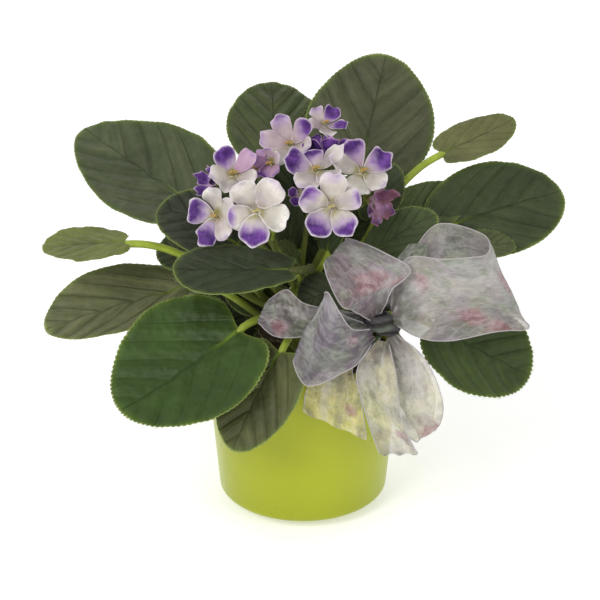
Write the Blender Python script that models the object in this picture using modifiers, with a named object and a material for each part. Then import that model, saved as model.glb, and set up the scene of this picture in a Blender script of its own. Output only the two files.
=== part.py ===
"""Potted African violet: a tapered pot of soil, a crown of round toothed leaves,
two-coloured blooms on stalks, and a sheer ribbon bow on a wire pick.

Run with: blender --background --python part.py
Lengths below are in millimetres; the scene is in metres with +Z up.
The pot stands on z = 0 with its centre line on the Z axis, and the bow faces -Y.
"""
import math

import bmesh
import bpy
from mathutils import Matrix, Vector

MM = 0.001
GAP = 0.3                     # clearance between pieces that touch

# Pot and soil
POT_HEIGHT = 94.0
POT_RIM_RADIUS = 56.5
POT_BASE_RADIUS = 48.6
POT_WALL = 4.0
POT_FLOOR = 5.0
POT_FOOT_ROUND = 4.5
SOIL_TOP = 84.0

# Crown (the short stem that every leaf and stalk grows from)
CROWN_RADIUS = 9.0
CROWN_BOTTOM = 58.0
CROWN_TOP = 127.0

# Leaves and blooms
BLADE_THICK = 1.2
PETIOLE_RADIUS = 2.1
STALK_RADIUS = 1.5
PETAL_THICK = 0.7
THROAT_RADIUS = 4.0

# Bow
RIBBON_THICK = 0.6
KNOT_CENTRE = (43, -54, 129)
KNOT_RADII = (9, 7, 8)
PICK_RADIUS = 1.3

# Each leaf: where its petiole leaves the crown (compass angle, height, steepness, and how far
# it keeps that direction if not the usual 0.4),
# blade base, blade tip, width, roll about its midrib, arch of the midrib, egg shape,
# cupping of the edges, and cells across the blade.
LEAVES = {
    "leaf_upper_left": ((147, 112, 25), (-56, 37, 158), (-131, 95, 188), 76, 17, -2, 0.26, 0.17, 7),
    "leaf_upper_middle": ((107, 119, 55), (-15, 56, 175), (-19, 123, 207), 57, 0, 2, 0.19, 0.13, 7),
    "leaf_upper_right": ((57, 114, 40), (31, 48, 169), (50, 118, 226), 76, -9, 0, 0.21, 0.11, 7),
    "leaf_small_right": ((30, 106, 35), (76, 41, 190), (122, 61, 205), 31, -22, -1, 0.06, 0.04, 5),
    "leaf_right": ((10, 113, 25), (71, 13, 154), (149, 38, 169), 61, -38, 3, 0.06, 0.07, 7),
    "leaf_right_inner": ((355, 103, 25), (88, -7, 149), (119, 1, 152), 24, -19, 3, 0.05, 0.12, 4),
    "leaf_centre_right": ((331, 121, 35), (34, -19, 150), (74, -6, 173), 29, -29, 4, 0.02, 0.13, 5),
    "leaf_lower_right": ((330, 98, 20), (67, -34, 122), (126, -46, 93), 65, -27, -2, 0.0, 0.09, 7),
    "leaf_small_left": ((184, 108, 20), (-95, -5, 156), (-145, -11, 155), 38, 7, 0, -0.09, 0.04, 5),
    "leaf_left": ((181, 98, 15), (-58, 9, 124), (-145, -21, 109), 58, 14, 2, -0.06, 0.2, 7),
    "leaf_lower_left": ((232, 106, 20), (-29, -38, 123), (-99, -80, 88), 84, 21, -3, 0.14, 0.17, 7),
    "leaf_front": ((262, 103, 25), (-10, -50, 115), (-38, -80, 64), 49, 14, 4, 0.2, 0.1, 7),
    "leaf_centre_left": ((290, 124, 80, 0.6), (-1, -36, 153), (-71, -40, 154), 37, 23, 0, -0.2, 0.03, 5),
    "leaf_behind_blooms": ((192, 117, 30), (-33, -7, 152), (-81, 7, 172), 46, 29, 5, 0.12, 0.13, 5),
    "leaf_shaded_left": ((168, 104, 25), (-44, 11, 135), (-83, 27, 141), 40, 25, 3, 0.1, 0.1, 4),
    "leaf_narrow_right": ((20, 119, 50), (39, 8, 161), (51, 36, 187), 26, -5, 2, 0.1, 0.1, 4),
    "leaf_behind_bow": ((308, 112, 45), (23, -31, 136), (-3, -38, 133), 32, 25, 3, 0.05, 0.1, 4),
    "leaf_young_front": ((252, 124, 80), (-3, -12, 143), (-13, -9, 158), 14, 15, 1, 0.1, 0.1, 4),
    "leaf_young_left": ((150, 126, 80), (-6, 0, 146), (-15, 7, 180), 28, 0, 2, 0.1, 0.1, 4),
    "leaf_young_right": ((15, 126, 75), (13, -10, 150), (25, -4, 179), 26, -5, 2, 0.1, 0.1, 4),
    "leaf_rear_left": ((98, 102, 20), (-8, 52, 128), (-14, 114, 114), 58, 0, 4, 0.15, 0.1, 5),
    "leaf_rear_right": ((42, 98, 20), (45, 40, 128), (95, 82, 112), 56, 0, 4, 0.15, 0.1, 5),
}

# Each bloom: throat centre, compass angle and pitch it faces, spin, radius, cup depth.
BLOOMS = {
    "bloom_left_high": ((-38, -15, 200), 270, 45, 30, 14, 6),
    "bloom_left_low": ((-47, -22, 179), 238, 10, 8, 16, 4),
    "bloom_front_left": ((-25, -42, 190), 270, 16, 30, 19, 4),
    "bloom_front_right": ((15, -42, 192), 270, 22, 0, 19, 4),
    "bloom_middle": ((7, -20, 204), 268, 52, 10, 16, 6),
    "bloom_right": ((32, -14, 201), 285, 40, 8, 17, 5),
    "bloom_top_left": ((-7, 9, 208), 250, 45, 20, 15, 7),
    "bloom_top_right": ((12, 19, 216), 290, 57, 26, 11.2, 4),
    "bloom_pink_left": ((-24, 0, 197), 205, 35, 10, 11.5, 5),
    "bloom_purple_behind": ((15, 0, 205), 80, 35, 0, 13, 5),
    "bloom_purple_side": ((-53, -2, 192), 190, 20, 20, 10, 7),
    "bloom_wilted": ((40, -17, 185), 330, -10, 15, 9, 10),
}
WITHOUT_ANTHERS = ("bloom_purple_behind", "bloom_purple_side", "bloom_wilted")

# Each stalk: start on the crown, fork, the blooms it carries, and a bud point or None.
STALKS = {
    "stalk_left": ((-6, -2), (-34, -8, 172), ("bloom_left_high", "bloom_left_low", "bloom_purple_side"), None),
    "stalk_front_left": ((-5, -5), (-17, -16, 162), ("bloom_front_left", "bloom_pink_left"), (-16, -21, 169)),
    "stalk_middle": ((-1, 5.5), (3, 0, 176), ("bloom_front_right", "bloom_middle", "bloom_top_left"), None),
    "stalk_right": ((3.5, 5.5), (24, 4, 174), ("bloom_right", "bloom_wilted", "bloom_top_right",
                                           "bloom_purple_behind"), None),
}

# Each ribbon: its two edges from the knot outwards (a loop's edges run out and back again),
# and the number of pleats across it.
RIBBONS = {
    "ribbon_loop_upper": (
        [(41, -56, 132), (47, -62, 151), (57, -58, 162), (44, -52, 169), (25, -38, 172),
         (24, -32, 167), (38, -42, 160), (47, -48, 152), (45, -50, 139)],
        [(38, -57, 131), (26, -66, 142), (20, -68, 146), (14, -64, 157), (11, -58, 165),
         (14, -50, 160), (21, -56, 148), (29, -56, 142), (38, -53, 138)], 1),
    "ribbon_loop_right": (
        [(47, -56, 138), (49, -52, 153), (56, -53, 167), (72, -62, 170), (88, -60, 170), (98, -52, 169),
         (97, -44, 176), (79, -40, 181), (68, -38, 177), (57, -41, 160), (49, -48, 140)],
        [(49, -60, 131), (62, -66, 126), (79, -66, 124), (106, -60, 127), (118, -57, 126), (123, -52, 126),
         (115, -46, 129), (91, -46, 128), (76, -47, 128), (62, -48, 129), (53, -50, 131)], 1),
    "ribbon_loop_left": (
        [(37, -62, 129), (26, -70, 133), (19, -72, 144), (13, -68, 153), (12, -62, 149),
         (20, -63, 139), (34, -58, 130)],
        [(38, -63, 122), (26, -70, 110), (3, -74, 101), (-5, -70, 113), (-2, -65, 116),
         (14, -65, 111), (35, -59, 124)], 1),
    "ribbon_end_left": (
        [(35, -52, 132), (23, -50, 134), (1, -51, 139), (-9, -46, 145), (-20, -46, 138)],
        [(35, -53, 127), (23, -54, 127), (0, -54, 121), (-15, -54, 121), (-25, -50, 128)], 1),
    "ribbon_tail_left": (
        [(38, -55, 125), (17, -59, 109), (3, -62, 95), (0, -63, 79)],
        [(40, -56, 122), (27, -61, 106), (31, -64, 91), (35, -65, 63)], 1),
    "ribbon_tail_middle": (
        [(40, -61, 122), (29, -70, 109), (32, -72, 91), (37, -72, 72), (42, -71, 57)],
        [(46, -61, 121), (50, -69, 105), (53, -71, 80), (59, -72, 66), (63, -70, 57)], 2),
    "ribbon_loop_lower": (
        [(49, -57, 125), (66, -62, 111), (76, -62, 86), (75, -62, 71), (72, -57, 72),
         (72, -54, 88), (63, -54, 108), (49, -53, 125)],
        [(45, -57, 122), (45, -62, 103), (47, -64, 78), (62, -63, 61), (63, -58, 64),
         (52, -57, 84), (48, -55, 103), (46, -53, 122)], 1),
}

COLOURS = {
    "pot": ((0.42, 0.46, 0.07), 0.35),
    "soil": ((0.05, 0.03, 0.02), 0.95),
    "crown": ((0.16, 0.20, 0.05), 0.7),
    "leaf": ((0.07, 0.12, 0.03), 0.75),
    "stalk": ((0.30, 0.38, 0.08), 0.6),
    "bloom": ((0.80, 0.72, 0.80), 0.6),
    "bloom_purple": ((0.20, 0.06, 0.35), 0.6),
    "anthers": ((0.80, 0.50, 0.08), 0.5),
    "ribbon": ((0.50, 0.46, 0.50), 0.5),
    "pick": ((0.10, 0.16, 0.05), 0.5),
}


# ---------------------------------------------------------------- scene helpers

def clear_scene():
    """Remove every object that a new file starts with."""
    for obj in list(bpy.data.objects):
        bpy.data.objects.remove(obj, do_unlink=True)


def new_collection(name):
    collection = bpy.data.collections.new(name)
    bpy.context.scene.collection.children.link(collection)
    return collection


def mesh_object(name, bm, collection):
    """Turn a bmesh into an object in a collection."""
    bmesh.ops.recalc_face_normals(bm, faces=bm.faces[:])
    mesh = bpy.data.meshes.new(name)
    bm.to_mesh(mesh)
    bm.free()
    obj = bpy.data.objects.new(name, mesh)
    collection.objects.link(obj)
    return obj


def hide(obj):
    """Mark an object as a cutter."""
    obj.hide_render = True
    obj.display_type = "WIRE"
    return obj


def paint(obj, kind):
    """Give an object its own Principled material."""
    colour, roughness = COLOURS[kind]
    material = bpy.data.materials.new(obj.name + "_material")
    material.use_nodes = True
    shader = material.node_tree.nodes["Principled BSDF"]
    shader.inputs["Base Color"].default_value = (*colour, 1.0)
    shader.inputs["Roughness"].default_value = roughness
    shader.inputs["Metallic"].default_value = 0.0
    obj.data.materials.clear()
    obj.data.materials.append(material)


def smooth(obj, angle=40):
    obj.data.shade_smooth()
    obj.data.set_sharp_from_angle(angle=math.radians(angle))


def boolean(obj, operation, other=None, collection=None):
    modifier = obj.modifiers.new(operation.title(), "BOOLEAN")
    modifier.operation = operation
    modifier.solver = "EXACT"
    if collection is None:
        modifier.object = other
    else:
        modifier.operand_type = "COLLECTION"
        modifier.collection = collection


def tidy_mesh(mesh):
    """Merge the hair's-breadth edges that a Boolean can leave."""
    bm = bmesh.new()
    bm.from_mesh(mesh)
    bmesh.ops.remove_doubles(bm, verts=bm.verts[:], dist=3e-6)
    bmesh.ops.dissolve_degenerate(bm, edges=bm.edges[:], dist=2e-6)
    bmesh.ops.triangulate(bm, faces=bm.faces[:])
    bm.to_mesh(mesh)
    bm.free()


def apply_modifiers(obj):
    """Bake an object's modifiers into its mesh."""
    graph = bpy.context.evaluated_depsgraph_get()
    graph.update()
    mesh = bpy.data.meshes.new_from_object(obj.evaluated_get(graph))
    obj.modifiers.clear()
    old, obj.data = obj.data, mesh
    mesh.name = obj.name
    bpy.data.meshes.remove(old)


# ---------------------------------------------------------------- curves

def bezier(p0, p1, p2, p3, t):
    s = 1.0 - t
    return p0 * s ** 3 + p1 * 3 * s * s * t + p2 * 3 * s * t * t + p3 * t ** 3


def through(points, t):
    """Point at t = 0..1 on a smooth curve that passes through every point."""
    points = [Vector(p) for p in points]
    place = min(max(t, 0.0), 1.0) * (len(points) - 1)
    i = min(int(place), len(points) - 2)
    f = place - i
    a, b = points[i], points[i + 1]
    before = points[i - 1] if i > 0 else a * 2 - b
    after = points[i + 2] if i + 2 < len(points) else b * 2 - a
    return 0.5 * (2 * a + (b - before) * f + (2 * before - 5 * a + 4 * b - after) * f * f
                  + (3 * a - before - 3 * b + after) * f ** 3)


def tube(name, points, radii, collection, sides=1):
    """A round stem along points (mm), as a closed mesh with welded caps."""
    curve = bpy.data.curves.new(name, "CURVE")
    curve.dimensions = "3D"
    curve.bevel_depth = MM
    curve.bevel_resolution = sides
    curve.use_fill_caps = True
    spline = curve.splines.new("POLY")
    spline.points.add(len(points) - 1)
    for point, place, radius in zip(spline.points, points, radii):
        point.co = (*(Vector(place) * MM), 1.0)
        point.radius = radius
    guide = bpy.data.objects.new(name + "_curve", curve)
    collection.objects.link(guide)
    graph = bpy.context.evaluated_depsgraph_get()
    graph.update()
    mesh = bpy.data.meshes.new_from_object(guide.evaluated_get(graph))
    bm = bmesh.new()
    bm.from_mesh(mesh)
    bmesh.ops.remove_doubles(bm, verts=bm.verts[:], dist=1e-6)
    bpy.data.objects.remove(guide, do_unlink=True)
    bpy.data.curves.remove(curve)
    bpy.data.meshes.remove(mesh)
    return mesh_object(name, bm, collection)


# ---------------------------------------------------------------- pot, soil, crown

def turned(name, profile, steps, collection):
    """A body turned about Z from a profile that runs down its outer side first."""
    mesh = bpy.data.meshes.new(name)
    verts = [(r * MM, 0.0, z * MM) for r, z in profile]
    mesh.from_pydata(verts, [(i, i + 1) for i in range(len(verts) - 1)], [])
    obj = bpy.data.objects.new(name, mesh)
    collection.objects.link(obj)
    screw = obj.modifiers.new("Turn", "SCREW")
    screw.steps = screw.render_steps = steps
    screw.use_merge_vertices = True
    screw.merge_threshold = 0.00001
    return obj


def outer_radius(z):
    return POT_BASE_RADIUS + (POT_RIM_RADIUS - POT_BASE_RADIUS) * z / POT_HEIGHT


def make_pot(collection):
    lip, foot = 1.2, POT_FOOT_ROUND
    profile = [(outer_radius(POT_HEIGHT) - lip, POT_HEIGHT)]
    profile += [(outer_radius(POT_HEIGHT) - lip + lip * math.sin(a), POT_HEIGHT - lip + lip * math.cos(a))
                for a in (math.radians(45), math.radians(90))]
    for step in range(5):
        a = math.radians(22.5 * step)
        profile.append((outer_radius(foot) - foot + foot * math.cos(a), foot - foot * math.sin(a)))
    profile += [(0.0, 0.0), (0.0, POT_FLOOR), (outer_radius(POT_FLOOR) - POT_WALL - 3, POT_FLOOR),
                (outer_radius(POT_FLOOR) - POT_WALL, POT_FLOOR + 3),
                (outer_radius(POT_HEIGHT) - POT_WALL, POT_HEIGHT - lip),
                (outer_radius(POT_HEIGHT) - POT_WALL + lip, POT_HEIGHT)]
    profile.append(profile[0])
    pot = turned("pot", profile, 44, collection)
    apply_modifiers(pot)
    bm = bmesh.new()
    bm.from_mesh(pot.data)
    bmesh.ops.remove_doubles(bm, verts=bm.verts[:], dist=1e-6)
    bmesh.ops.recalc_face_normals(bm, faces=bm.faces[:])
    bm.to_mesh(pot.data)
    bm.free()
    smooth(pot)
    return pot


def make_soil(collection, cutters):
    """Soil that fills the pot, slightly mounded, with plain holes for the crown and the pick."""
    inner = POT_WALL + GAP
    bottom = POT_FLOOR + GAP
    profile = [(0.0, SOIL_TOP + 3), (25.0, SOIL_TOP + 2), (outer_radius(SOIL_TOP) - inner, SOIL_TOP),
               (outer_radius(bottom + 3) - inner, bottom + 3.2), (outer_radius(bottom) - inner - 3.4, bottom),
               (0.0, bottom)]
    soil = turned("soil", profile, 22, collection)
    boolean(soil, "DIFFERENCE", crown_body("crown_hole", cutters, GAP))
    hole = tube("pick_hole", [p for p in PICK_PATH[:3]], [PICK_RADIUS + GAP] * 3, cutters, 2)
    hole.location.z = -GAP * MM
    boolean(soil, "DIFFERENCE", hide(hole))
    return soil


def crown_body(name, collection, grow=0.0):
    """The crown's stub, or the same stub grown all round as a clearance cutter."""
    radius, top, bottom = CROWN_RADIUS + grow, CROWN_TOP + grow, CROWN_BOTTOM - grow
    profile = [(0.0, top), (radius * 0.6, top - 1.0), (radius, top - 5.0),
               (radius, bottom + 4.0), (radius * 0.6, bottom), (0.0, bottom)]
    stub = turned(name, profile, 16, collection)
    apply_modifiers(stub)
    if grow:
        hide(stub)
    return stub


# ---------------------------------------------------------------- leaves

def leaf_outline(angle, egg, notch=0.07):
    """Along and across of the leaf's edge: a circle drawn out to an egg, notched at the stalk."""
    along = 0.5 + 0.5 * math.cos(angle)
    back = abs(abs(angle) - math.pi)
    along += notch * math.exp(-(back / 0.28) ** 2) - 0.5 * notch * math.exp(-((back - 0.62) / 0.3) ** 2)
    return along, math.sin(angle) * (1 - egg * math.cos(angle))


def leaf_frame(base, tip, roll):
    """Axes of a blade: along its midrib, across it, and out of its upper face."""
    along = (tip - base).normalized()
    side = along.cross(Vector((0, 0, 1))).normalized()
    up = side.cross(along)
    turn = math.radians(roll)
    across = side * math.cos(turn) + up * math.sin(turn)
    return along, -across, across.cross(along)


def blade(name, length, width, lift, egg, cup, cells, collection):
    """A toothed heart-shaped sheet lying on XY with its base at the origin."""
    bm = bmesh.new()
    bmesh.ops.create_grid(bm, x_segments=cells, y_segments=cells, size=1.0)
    for edge in [e for e in bm.edges if e.is_boundary]:
        bmesh.utils.edge_split(edge, edge.verts[0], 0.5)
    teeth = {v for v in bm.verts if len(v.link_edges) == 2 and max(abs(v.co.x), abs(v.co.y)) > 0.999
             and min(abs(v.co.x), abs(v.co.y)) < 0.999}
    rim = {v for v in bm.verts if v.is_boundary}
    bmesh.ops.triangulate(bm, faces=bm.faces[:])
    for v in bm.verts:
        x, y = v.co.x, v.co.y
        u, w = x * math.sqrt(1 - y * y / 2), y * math.sqrt(1 - x * x / 2)
        angle = math.atan2(w, u)
        reach = math.hypot(u, w)
        if v in rim:
            reach *= 1.012 if v in teeth else 0.978
        along, across = leaf_outline(angle, egg)
        a, b = 0.5 + reach * (along - 0.5), reach * across
        z = 4 * lift * a * (1 - a) + cup * b * b * width / 2
        v.co = Vector((a * length, b * width / 2, z)) * MM
    return mesh_object(name, bm, collection)


def make_leaf(name, values, collection, cutters, clearance):
    (heading, height, rise, *bend), base, tip, width, roll, arch, egg, cup, cells = values
    base, tip = Vector(base), Vector(tip)
    along, across, face = leaf_frame(base, tip, roll)
    length = (tip - base).length
    leaf = blade(name, length, width, arch, egg, cup, cells, collection)
    frame = Matrix((along, across, face)).transposed().to_4x4()
    frame.translation = base * MM
    leaf.matrix_world = frame
    solid = leaf.modifiers.new("Thickness", "SOLIDIFY")
    solid.thickness = BLADE_THICK * MM
    solid.offset = 0.0

    compass = Vector((math.cos(math.radians(heading)), math.sin(math.radians(heading)), 0))
    start = compass * (CROWN_RADIUS - 4) + Vector((0, 0, height))
    foot = base + along * length * 0.06 - face * 1.3
    reach = (foot - start).length
    lift = (compass + Vector((0, 0, math.tan(math.radians(rise))))).normalized()
    pull = start + lift * reach * (bend[0] if bend else 0.4)
    push = foot - along * reach * 0.35
    thick = min(PETIOLE_RADIUS, width * 0.05 + 0.5)
    path = [bezier(start, pull, push, foot, t / 5) for t in range(6)]
    radii = [thick] * 6
    for a, depth, radius in ((0.2, 1.3, 0.75), (0.38, 0.9, 0.5)):
        path.append(base + along * (a * length) + face * (4 * arch * a * (1 - a) - depth))
        radii.append(thick * radius)
    stem = hide(tube(name + "_petiole", path, radii, cutters))
    boolean(leaf, "UNION", stem)
    boolean(leaf, "DIFFERENCE", clearance)
    apply_modifiers(leaf)
    tidy_mesh(leaf.data)
    return leaf


# ---------------------------------------------------------------- blooms and stalks

def bloom_frame(centre, heading, pitch, spin):
    """Matrix of a bloom: +Z out of its face, +Y towards its top."""
    h, p = math.radians(heading), math.radians(pitch)
    out = Vector((math.cos(h) * math.cos(p), math.sin(h) * math.cos(p), math.sin(p)))
    up = (Vector((0, 0, 1)) - out * out.z).normalized()
    frame = Matrix((up.cross(out), up, out)).transposed().to_4x4()
    frame.translation = Vector(centre) * MM
    return frame @ Matrix.Rotation(math.radians(spin), 4, "Z")


def petal(name, angle, radius, depth, lower, frame, collection):
    """One petal: a disc pulled into a rounded blade, tilted so that neighbours overlap."""
    bm = bmesh.new()
    bmesh.ops.create_circle(bm, cap_ends=True, cap_tris=True, segments=9, radius=1.0)
    width = radius * (1.06 if lower else 0.94)
    length = radius * (1.0 if lower else 0.94)
    for v in bm.verts:
        u, w = v.co.y, v.co.x
        r = 1.5 + (length - 1.5) * (0.5 + 0.5 * u)
        across = w * (0.78 + 0.22 * u) * width / 2
        rise = depth * (r / radius) ** 2
        tilt = 1.6 * w * (1 - 0.2 * u)
        layer = 0.5 if lower else -0.4
        v.co = Vector((across, r, rise + tilt + layer)) * MM
    blade_obj = mesh_object(name, bm, collection)
    blade_obj.matrix_world = frame @ Matrix.Rotation(angle, 4, "Z")
    solid = blade_obj.modifiers.new("Thickness", "SOLIDIFY")
    solid.thickness = PETAL_THICK * MM
    solid.offset = 0.0
    return blade_obj


def make_bloom(name, values, collection):
    """Two upper and three lower petals joined round a throat."""
    centre, heading, pitch, spin, radius, depth = values
    frame = bloom_frame(centre, heading, pitch, spin)
    bm = bmesh.new()
    bmesh.ops.create_cone(bm, cap_ends=True, segments=8, radius1=1.8 * MM, radius2=THROAT_RADIUS * MM,
                          depth=4.4 * MM)
    bloom = mesh_object(name, bm, collection)
    bloom.data.transform(frame @ Matrix.Translation((0, 0, -0.9 * MM)))
    petals = new_collection(name + "_petals")
    for k in range(5):
        petal(f"{name}_petal_{k}", math.radians(72 * k), radius, depth, k in (1, 2, 3, 4), frame, petals)
    boolean(bloom, "UNION", collection=petals)
    apply_modifiers(bloom)
    tidy_mesh(bloom.data)
    for obj in list(petals.objects):
        bpy.data.objects.remove(obj, do_unlink=True)
    bpy.data.collections.remove(petals)
    return bloom


def make_anthers(name, values, collection):
    """The pair of yellow anthers: one ball pinched at its waist."""
    centre, heading, pitch, spin, radius, depth = values
    bm = bmesh.new()
    bmesh.ops.create_uvsphere(bm, u_segments=6, v_segments=5, radius=1.5)
    for v in bm.verts:
        pinch = 0.55 + 0.45 * min(abs(v.co.x) / 0.8, 1.0)
        v.co = Vector((v.co.x * 1.5, v.co.y * pinch, v.co.z * pinch + 1.3 + GAP + 1.5)) * MM
    anthers = mesh_object(name, bm, collection)
    anthers.matrix_world = bloom_frame(centre, heading, pitch, 10)
    return anthers


def make_stalk(name, values, collection, cutters, clearance):
    """A flower stalk: one stem from the crown, a short stem and a leafy cup behind each bloom."""
    (x, y), fork, blooms, bud = values
    start, fork = Vector((x, y, CROWN_TOP - 4)), Vector(fork)
    lift = Vector((0, 0, (fork - start).length * 0.4))
    path = [bezier(start, start + lift, fork - lift * 0.6, fork, t / 5) for t in range(6)]
    stalk = tube(name, path, [STALK_RADIUS] * 6, collection)
    parts = new_collection(name + "_branches")
    for bloom in blooms:
        frame = bloom_frame(*BLOOMS[bloom][:4])
        out = frame.to_3x3() @ Vector((0, 0, 1))
        centre = frame.translation / MM
        end = centre - out * (3.1 + GAP + 0.8)
        reach = (end - fork).length
        inside = fork - Vector((0, 0, 1.5))
        path = [bezier(inside, fork + Vector((0, 0, reach * 0.35)), end - out * reach * 0.4, end, t / 4)
                for t in range(5)]
        tube(bloom + "_pedicel", path, [1.0] * 5, parts)
        bm = bmesh.new()
        bmesh.ops.create_cone(bm, cap_ends=True, segments=5, radius1=1.0 * MM, radius2=3.6 * MM, depth=2.2 * MM)
        cup = mesh_object(bloom + "_calyx", bm, parts)
        cup.data.transform(frame @ Matrix.Translation((0, 0, -(3.1 + GAP + 1.1) * MM)))
    if bud:
        tip = Vector(bud)
        tube(name + "_bud", [fork - Vector((0, 0, 1)), (fork + tip) / 2, tip, tip + Vector((0, -1, 3))],
             [1.0, 1.0, 2.2, 0.8], parts)
    boolean(stalk, "UNION", collection=parts)
    boolean(stalk, "DIFFERENCE", clearance)
    apply_modifiers(stalk)
    tidy_mesh(stalk.data)
    for obj in list(parts.objects):
        bpy.data.objects.remove(obj, do_unlink=True)
    bpy.data.collections.remove(parts)
    return stalk


# ---------------------------------------------------------------- bow

PICK_PATH = [Vector(p) for p in ((33, -32, 55), (33, -33, 75), (34, -34, 92), (36, -38, 103),
                                 (40, -46, 114), (42, -51, 122))]


def knot_body(name, collection, grow=0.0):
    bm = bmesh.new()
    bmesh.ops.create_uvsphere(bm, u_segments=10, v_segments=7, radius=1.0)
    for v in bm.verts:
        v.co = Vector([KNOT_CENTRE[i] + v.co[i] * (KNOT_RADII[i] + grow) for i in range(3)]) * MM
    knot = mesh_object(name, bm, collection)
    if grow:
        hide(knot)
    return knot


def make_ribbon(name, values, collection, clearance):
    """A strip of ribbon ruled between its two edges, pleated near the knot."""
    edge_a, edge_b, pleats = values
    steps = round(1.7 * len(edge_a)) + 2
    bm = bmesh.new()
    bmesh.ops.create_grid(bm, x_segments=steps, y_segments=4, size=1.0)
    bmesh.ops.triangulate(bm, faces=bm.faces[:])
    for v in bm.verts:
        t, s = 0.5 + v.co.x / 2, 0.5 + v.co.y / 2
        a, b = through(edge_a, t), through(edge_b, t)
        ahead = through(edge_a, t + 0.02) + through(edge_b, t + 0.02)
        behind = through(edge_a, t - 0.02) + through(edge_b, t - 0.02)
        normal = (b - a).cross(ahead - behind).normalized()
        wave = 0.8 * math.sin(2 * math.pi * pleats * s) * math.sin(math.pi * min(t, 1 - t))
        v.co = (a.lerp(b, s) + normal * wave) * MM
    ribbon = mesh_object(name, bm, collection)
    solid = ribbon.modifiers.new("Thickness", "SOLIDIFY")
    solid.thickness = RIBBON_THICK * MM
    solid.offset = 0.0
    boolean(ribbon, "DIFFERENCE", clearance)
    apply_modifiers(ribbon)
    tidy_mesh(ribbon.data)
    return ribbon


# ---------------------------------------------------------------- whole plant

def build():
    clear_scene()
    parts = new_collection("potted_african_violet")
    cutters = new_collection("cutters")
    paint(make_pot(parts), "pot")
    paint(make_soil(parts, cutters), "soil")
    paint(crown_body("crown", parts), "crown")
    crown_clearance = crown_body("crown_clearance", cutters, GAP)
    for name, values in LEAVES.items():
        paint(make_leaf(name, values, parts, cutters, crown_clearance), "leaf")
    for name, values in STALKS.items():
        paint(make_stalk(name, values, parts, cutters, crown_clearance), "stalk")
    for name, values in BLOOMS.items():
        paint(make_bloom(name, values, parts), "bloom_purple" if "purple" in name else "bloom")
        if name not in WITHOUT_ANTHERS:
            paint(make_anthers(name.replace("bloom", "anthers"), values, parts), "anthers")
    paint(tube("bow_pick", PICK_PATH, [PICK_RADIUS] * len(PICK_PATH), parts, 2), "pick")
    paint(knot_body("bow_knot", parts), "ribbon")
    knot_clearance = knot_body("knot_clearance", cutters, GAP)
    boolean(bpy.data.objects["bow_pick"], "DIFFERENCE", knot_clearance)
    for name, values in RIBBONS.items():
        paint(make_ribbon(name, values, parts, knot_clearance), "ribbon")


build()
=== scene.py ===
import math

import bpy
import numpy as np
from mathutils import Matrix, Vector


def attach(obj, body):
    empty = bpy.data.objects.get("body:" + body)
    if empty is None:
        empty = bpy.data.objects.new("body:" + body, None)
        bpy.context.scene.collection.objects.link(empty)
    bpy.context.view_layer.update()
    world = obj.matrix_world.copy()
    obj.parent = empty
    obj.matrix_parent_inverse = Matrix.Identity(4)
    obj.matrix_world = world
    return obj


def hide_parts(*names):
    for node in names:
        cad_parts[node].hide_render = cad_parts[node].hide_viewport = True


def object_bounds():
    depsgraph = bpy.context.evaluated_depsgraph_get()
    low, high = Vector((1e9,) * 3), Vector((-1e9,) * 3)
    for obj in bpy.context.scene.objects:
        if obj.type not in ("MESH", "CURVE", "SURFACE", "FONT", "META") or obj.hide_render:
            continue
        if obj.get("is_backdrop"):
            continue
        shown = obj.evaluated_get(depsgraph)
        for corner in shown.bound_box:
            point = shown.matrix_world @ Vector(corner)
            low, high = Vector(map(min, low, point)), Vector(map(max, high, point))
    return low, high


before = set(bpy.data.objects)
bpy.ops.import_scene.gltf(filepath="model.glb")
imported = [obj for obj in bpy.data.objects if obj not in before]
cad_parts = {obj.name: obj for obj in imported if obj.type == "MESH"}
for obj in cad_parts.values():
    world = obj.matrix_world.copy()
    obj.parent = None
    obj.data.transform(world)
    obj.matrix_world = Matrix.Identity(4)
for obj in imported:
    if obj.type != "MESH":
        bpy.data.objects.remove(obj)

# %% [markdown]
# # A potted African violet
# The plant is a rosette: a short crown stands in a pot of soil, velvety leaves spread from it on
# juicy stalks, and two-coloured flowers stand above them. A sheer ribbon bow sits on a wire pick.
# The frame holds the plain solids, one to each leaf, flower and loop. Every one of them gets a
# finer skin here, in the same place and of the same size.

MM = 0.001                          # lengths below are in millimetres
PATTERN = 100.0                     # millimetres to one unit of a flattened pattern
cad_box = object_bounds()
print("box of the solids (m):", [tuple(round(c, 4) for c in corner) for corner in cad_box])

# %% [markdown]
# ## From a grid of points to a mesh
# A leaf, a petal or a stem can be pictured as one grid of points, wrapped round or left open.
# Numpy works out the whole grid at once, and the faces only say which grid points are
# neighbours. Doing it this way keeps the shape in a formula, which is easy to read and to change.

# %% Skins: grids turned into vertices and faces
def round_turn(steps):
    """Angles of one full turn, the last one step short of the first."""
    return np.linspace(0, 2 * np.pi, steps, endpoint=False)


def grid(*parts):
    """Numbers of rows and of columns, spread over one grid and stacked into points."""
    return np.stack(np.broadcast_arrays(*parts), -1)


def disc_grid(rings, spokes, back_rings=None):
    """A closed disc: rings from the middle of one face over the rim to the middle of the other.

    Returns how far out each ring lies (1 on the rim), its side (1, 0 on the rim, then -1) and
    the angle of each spoke.
    """
    behind = rings[::-1] if back_rings is None else back_rings
    reach = np.concatenate([rings, [1.0], behind])[:, None]
    side = np.concatenate([rings * 0 + 1, [0.0], behind * 0 - 1])[:, None]
    return reach, side, round_turn(spokes)[None, :]


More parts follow.
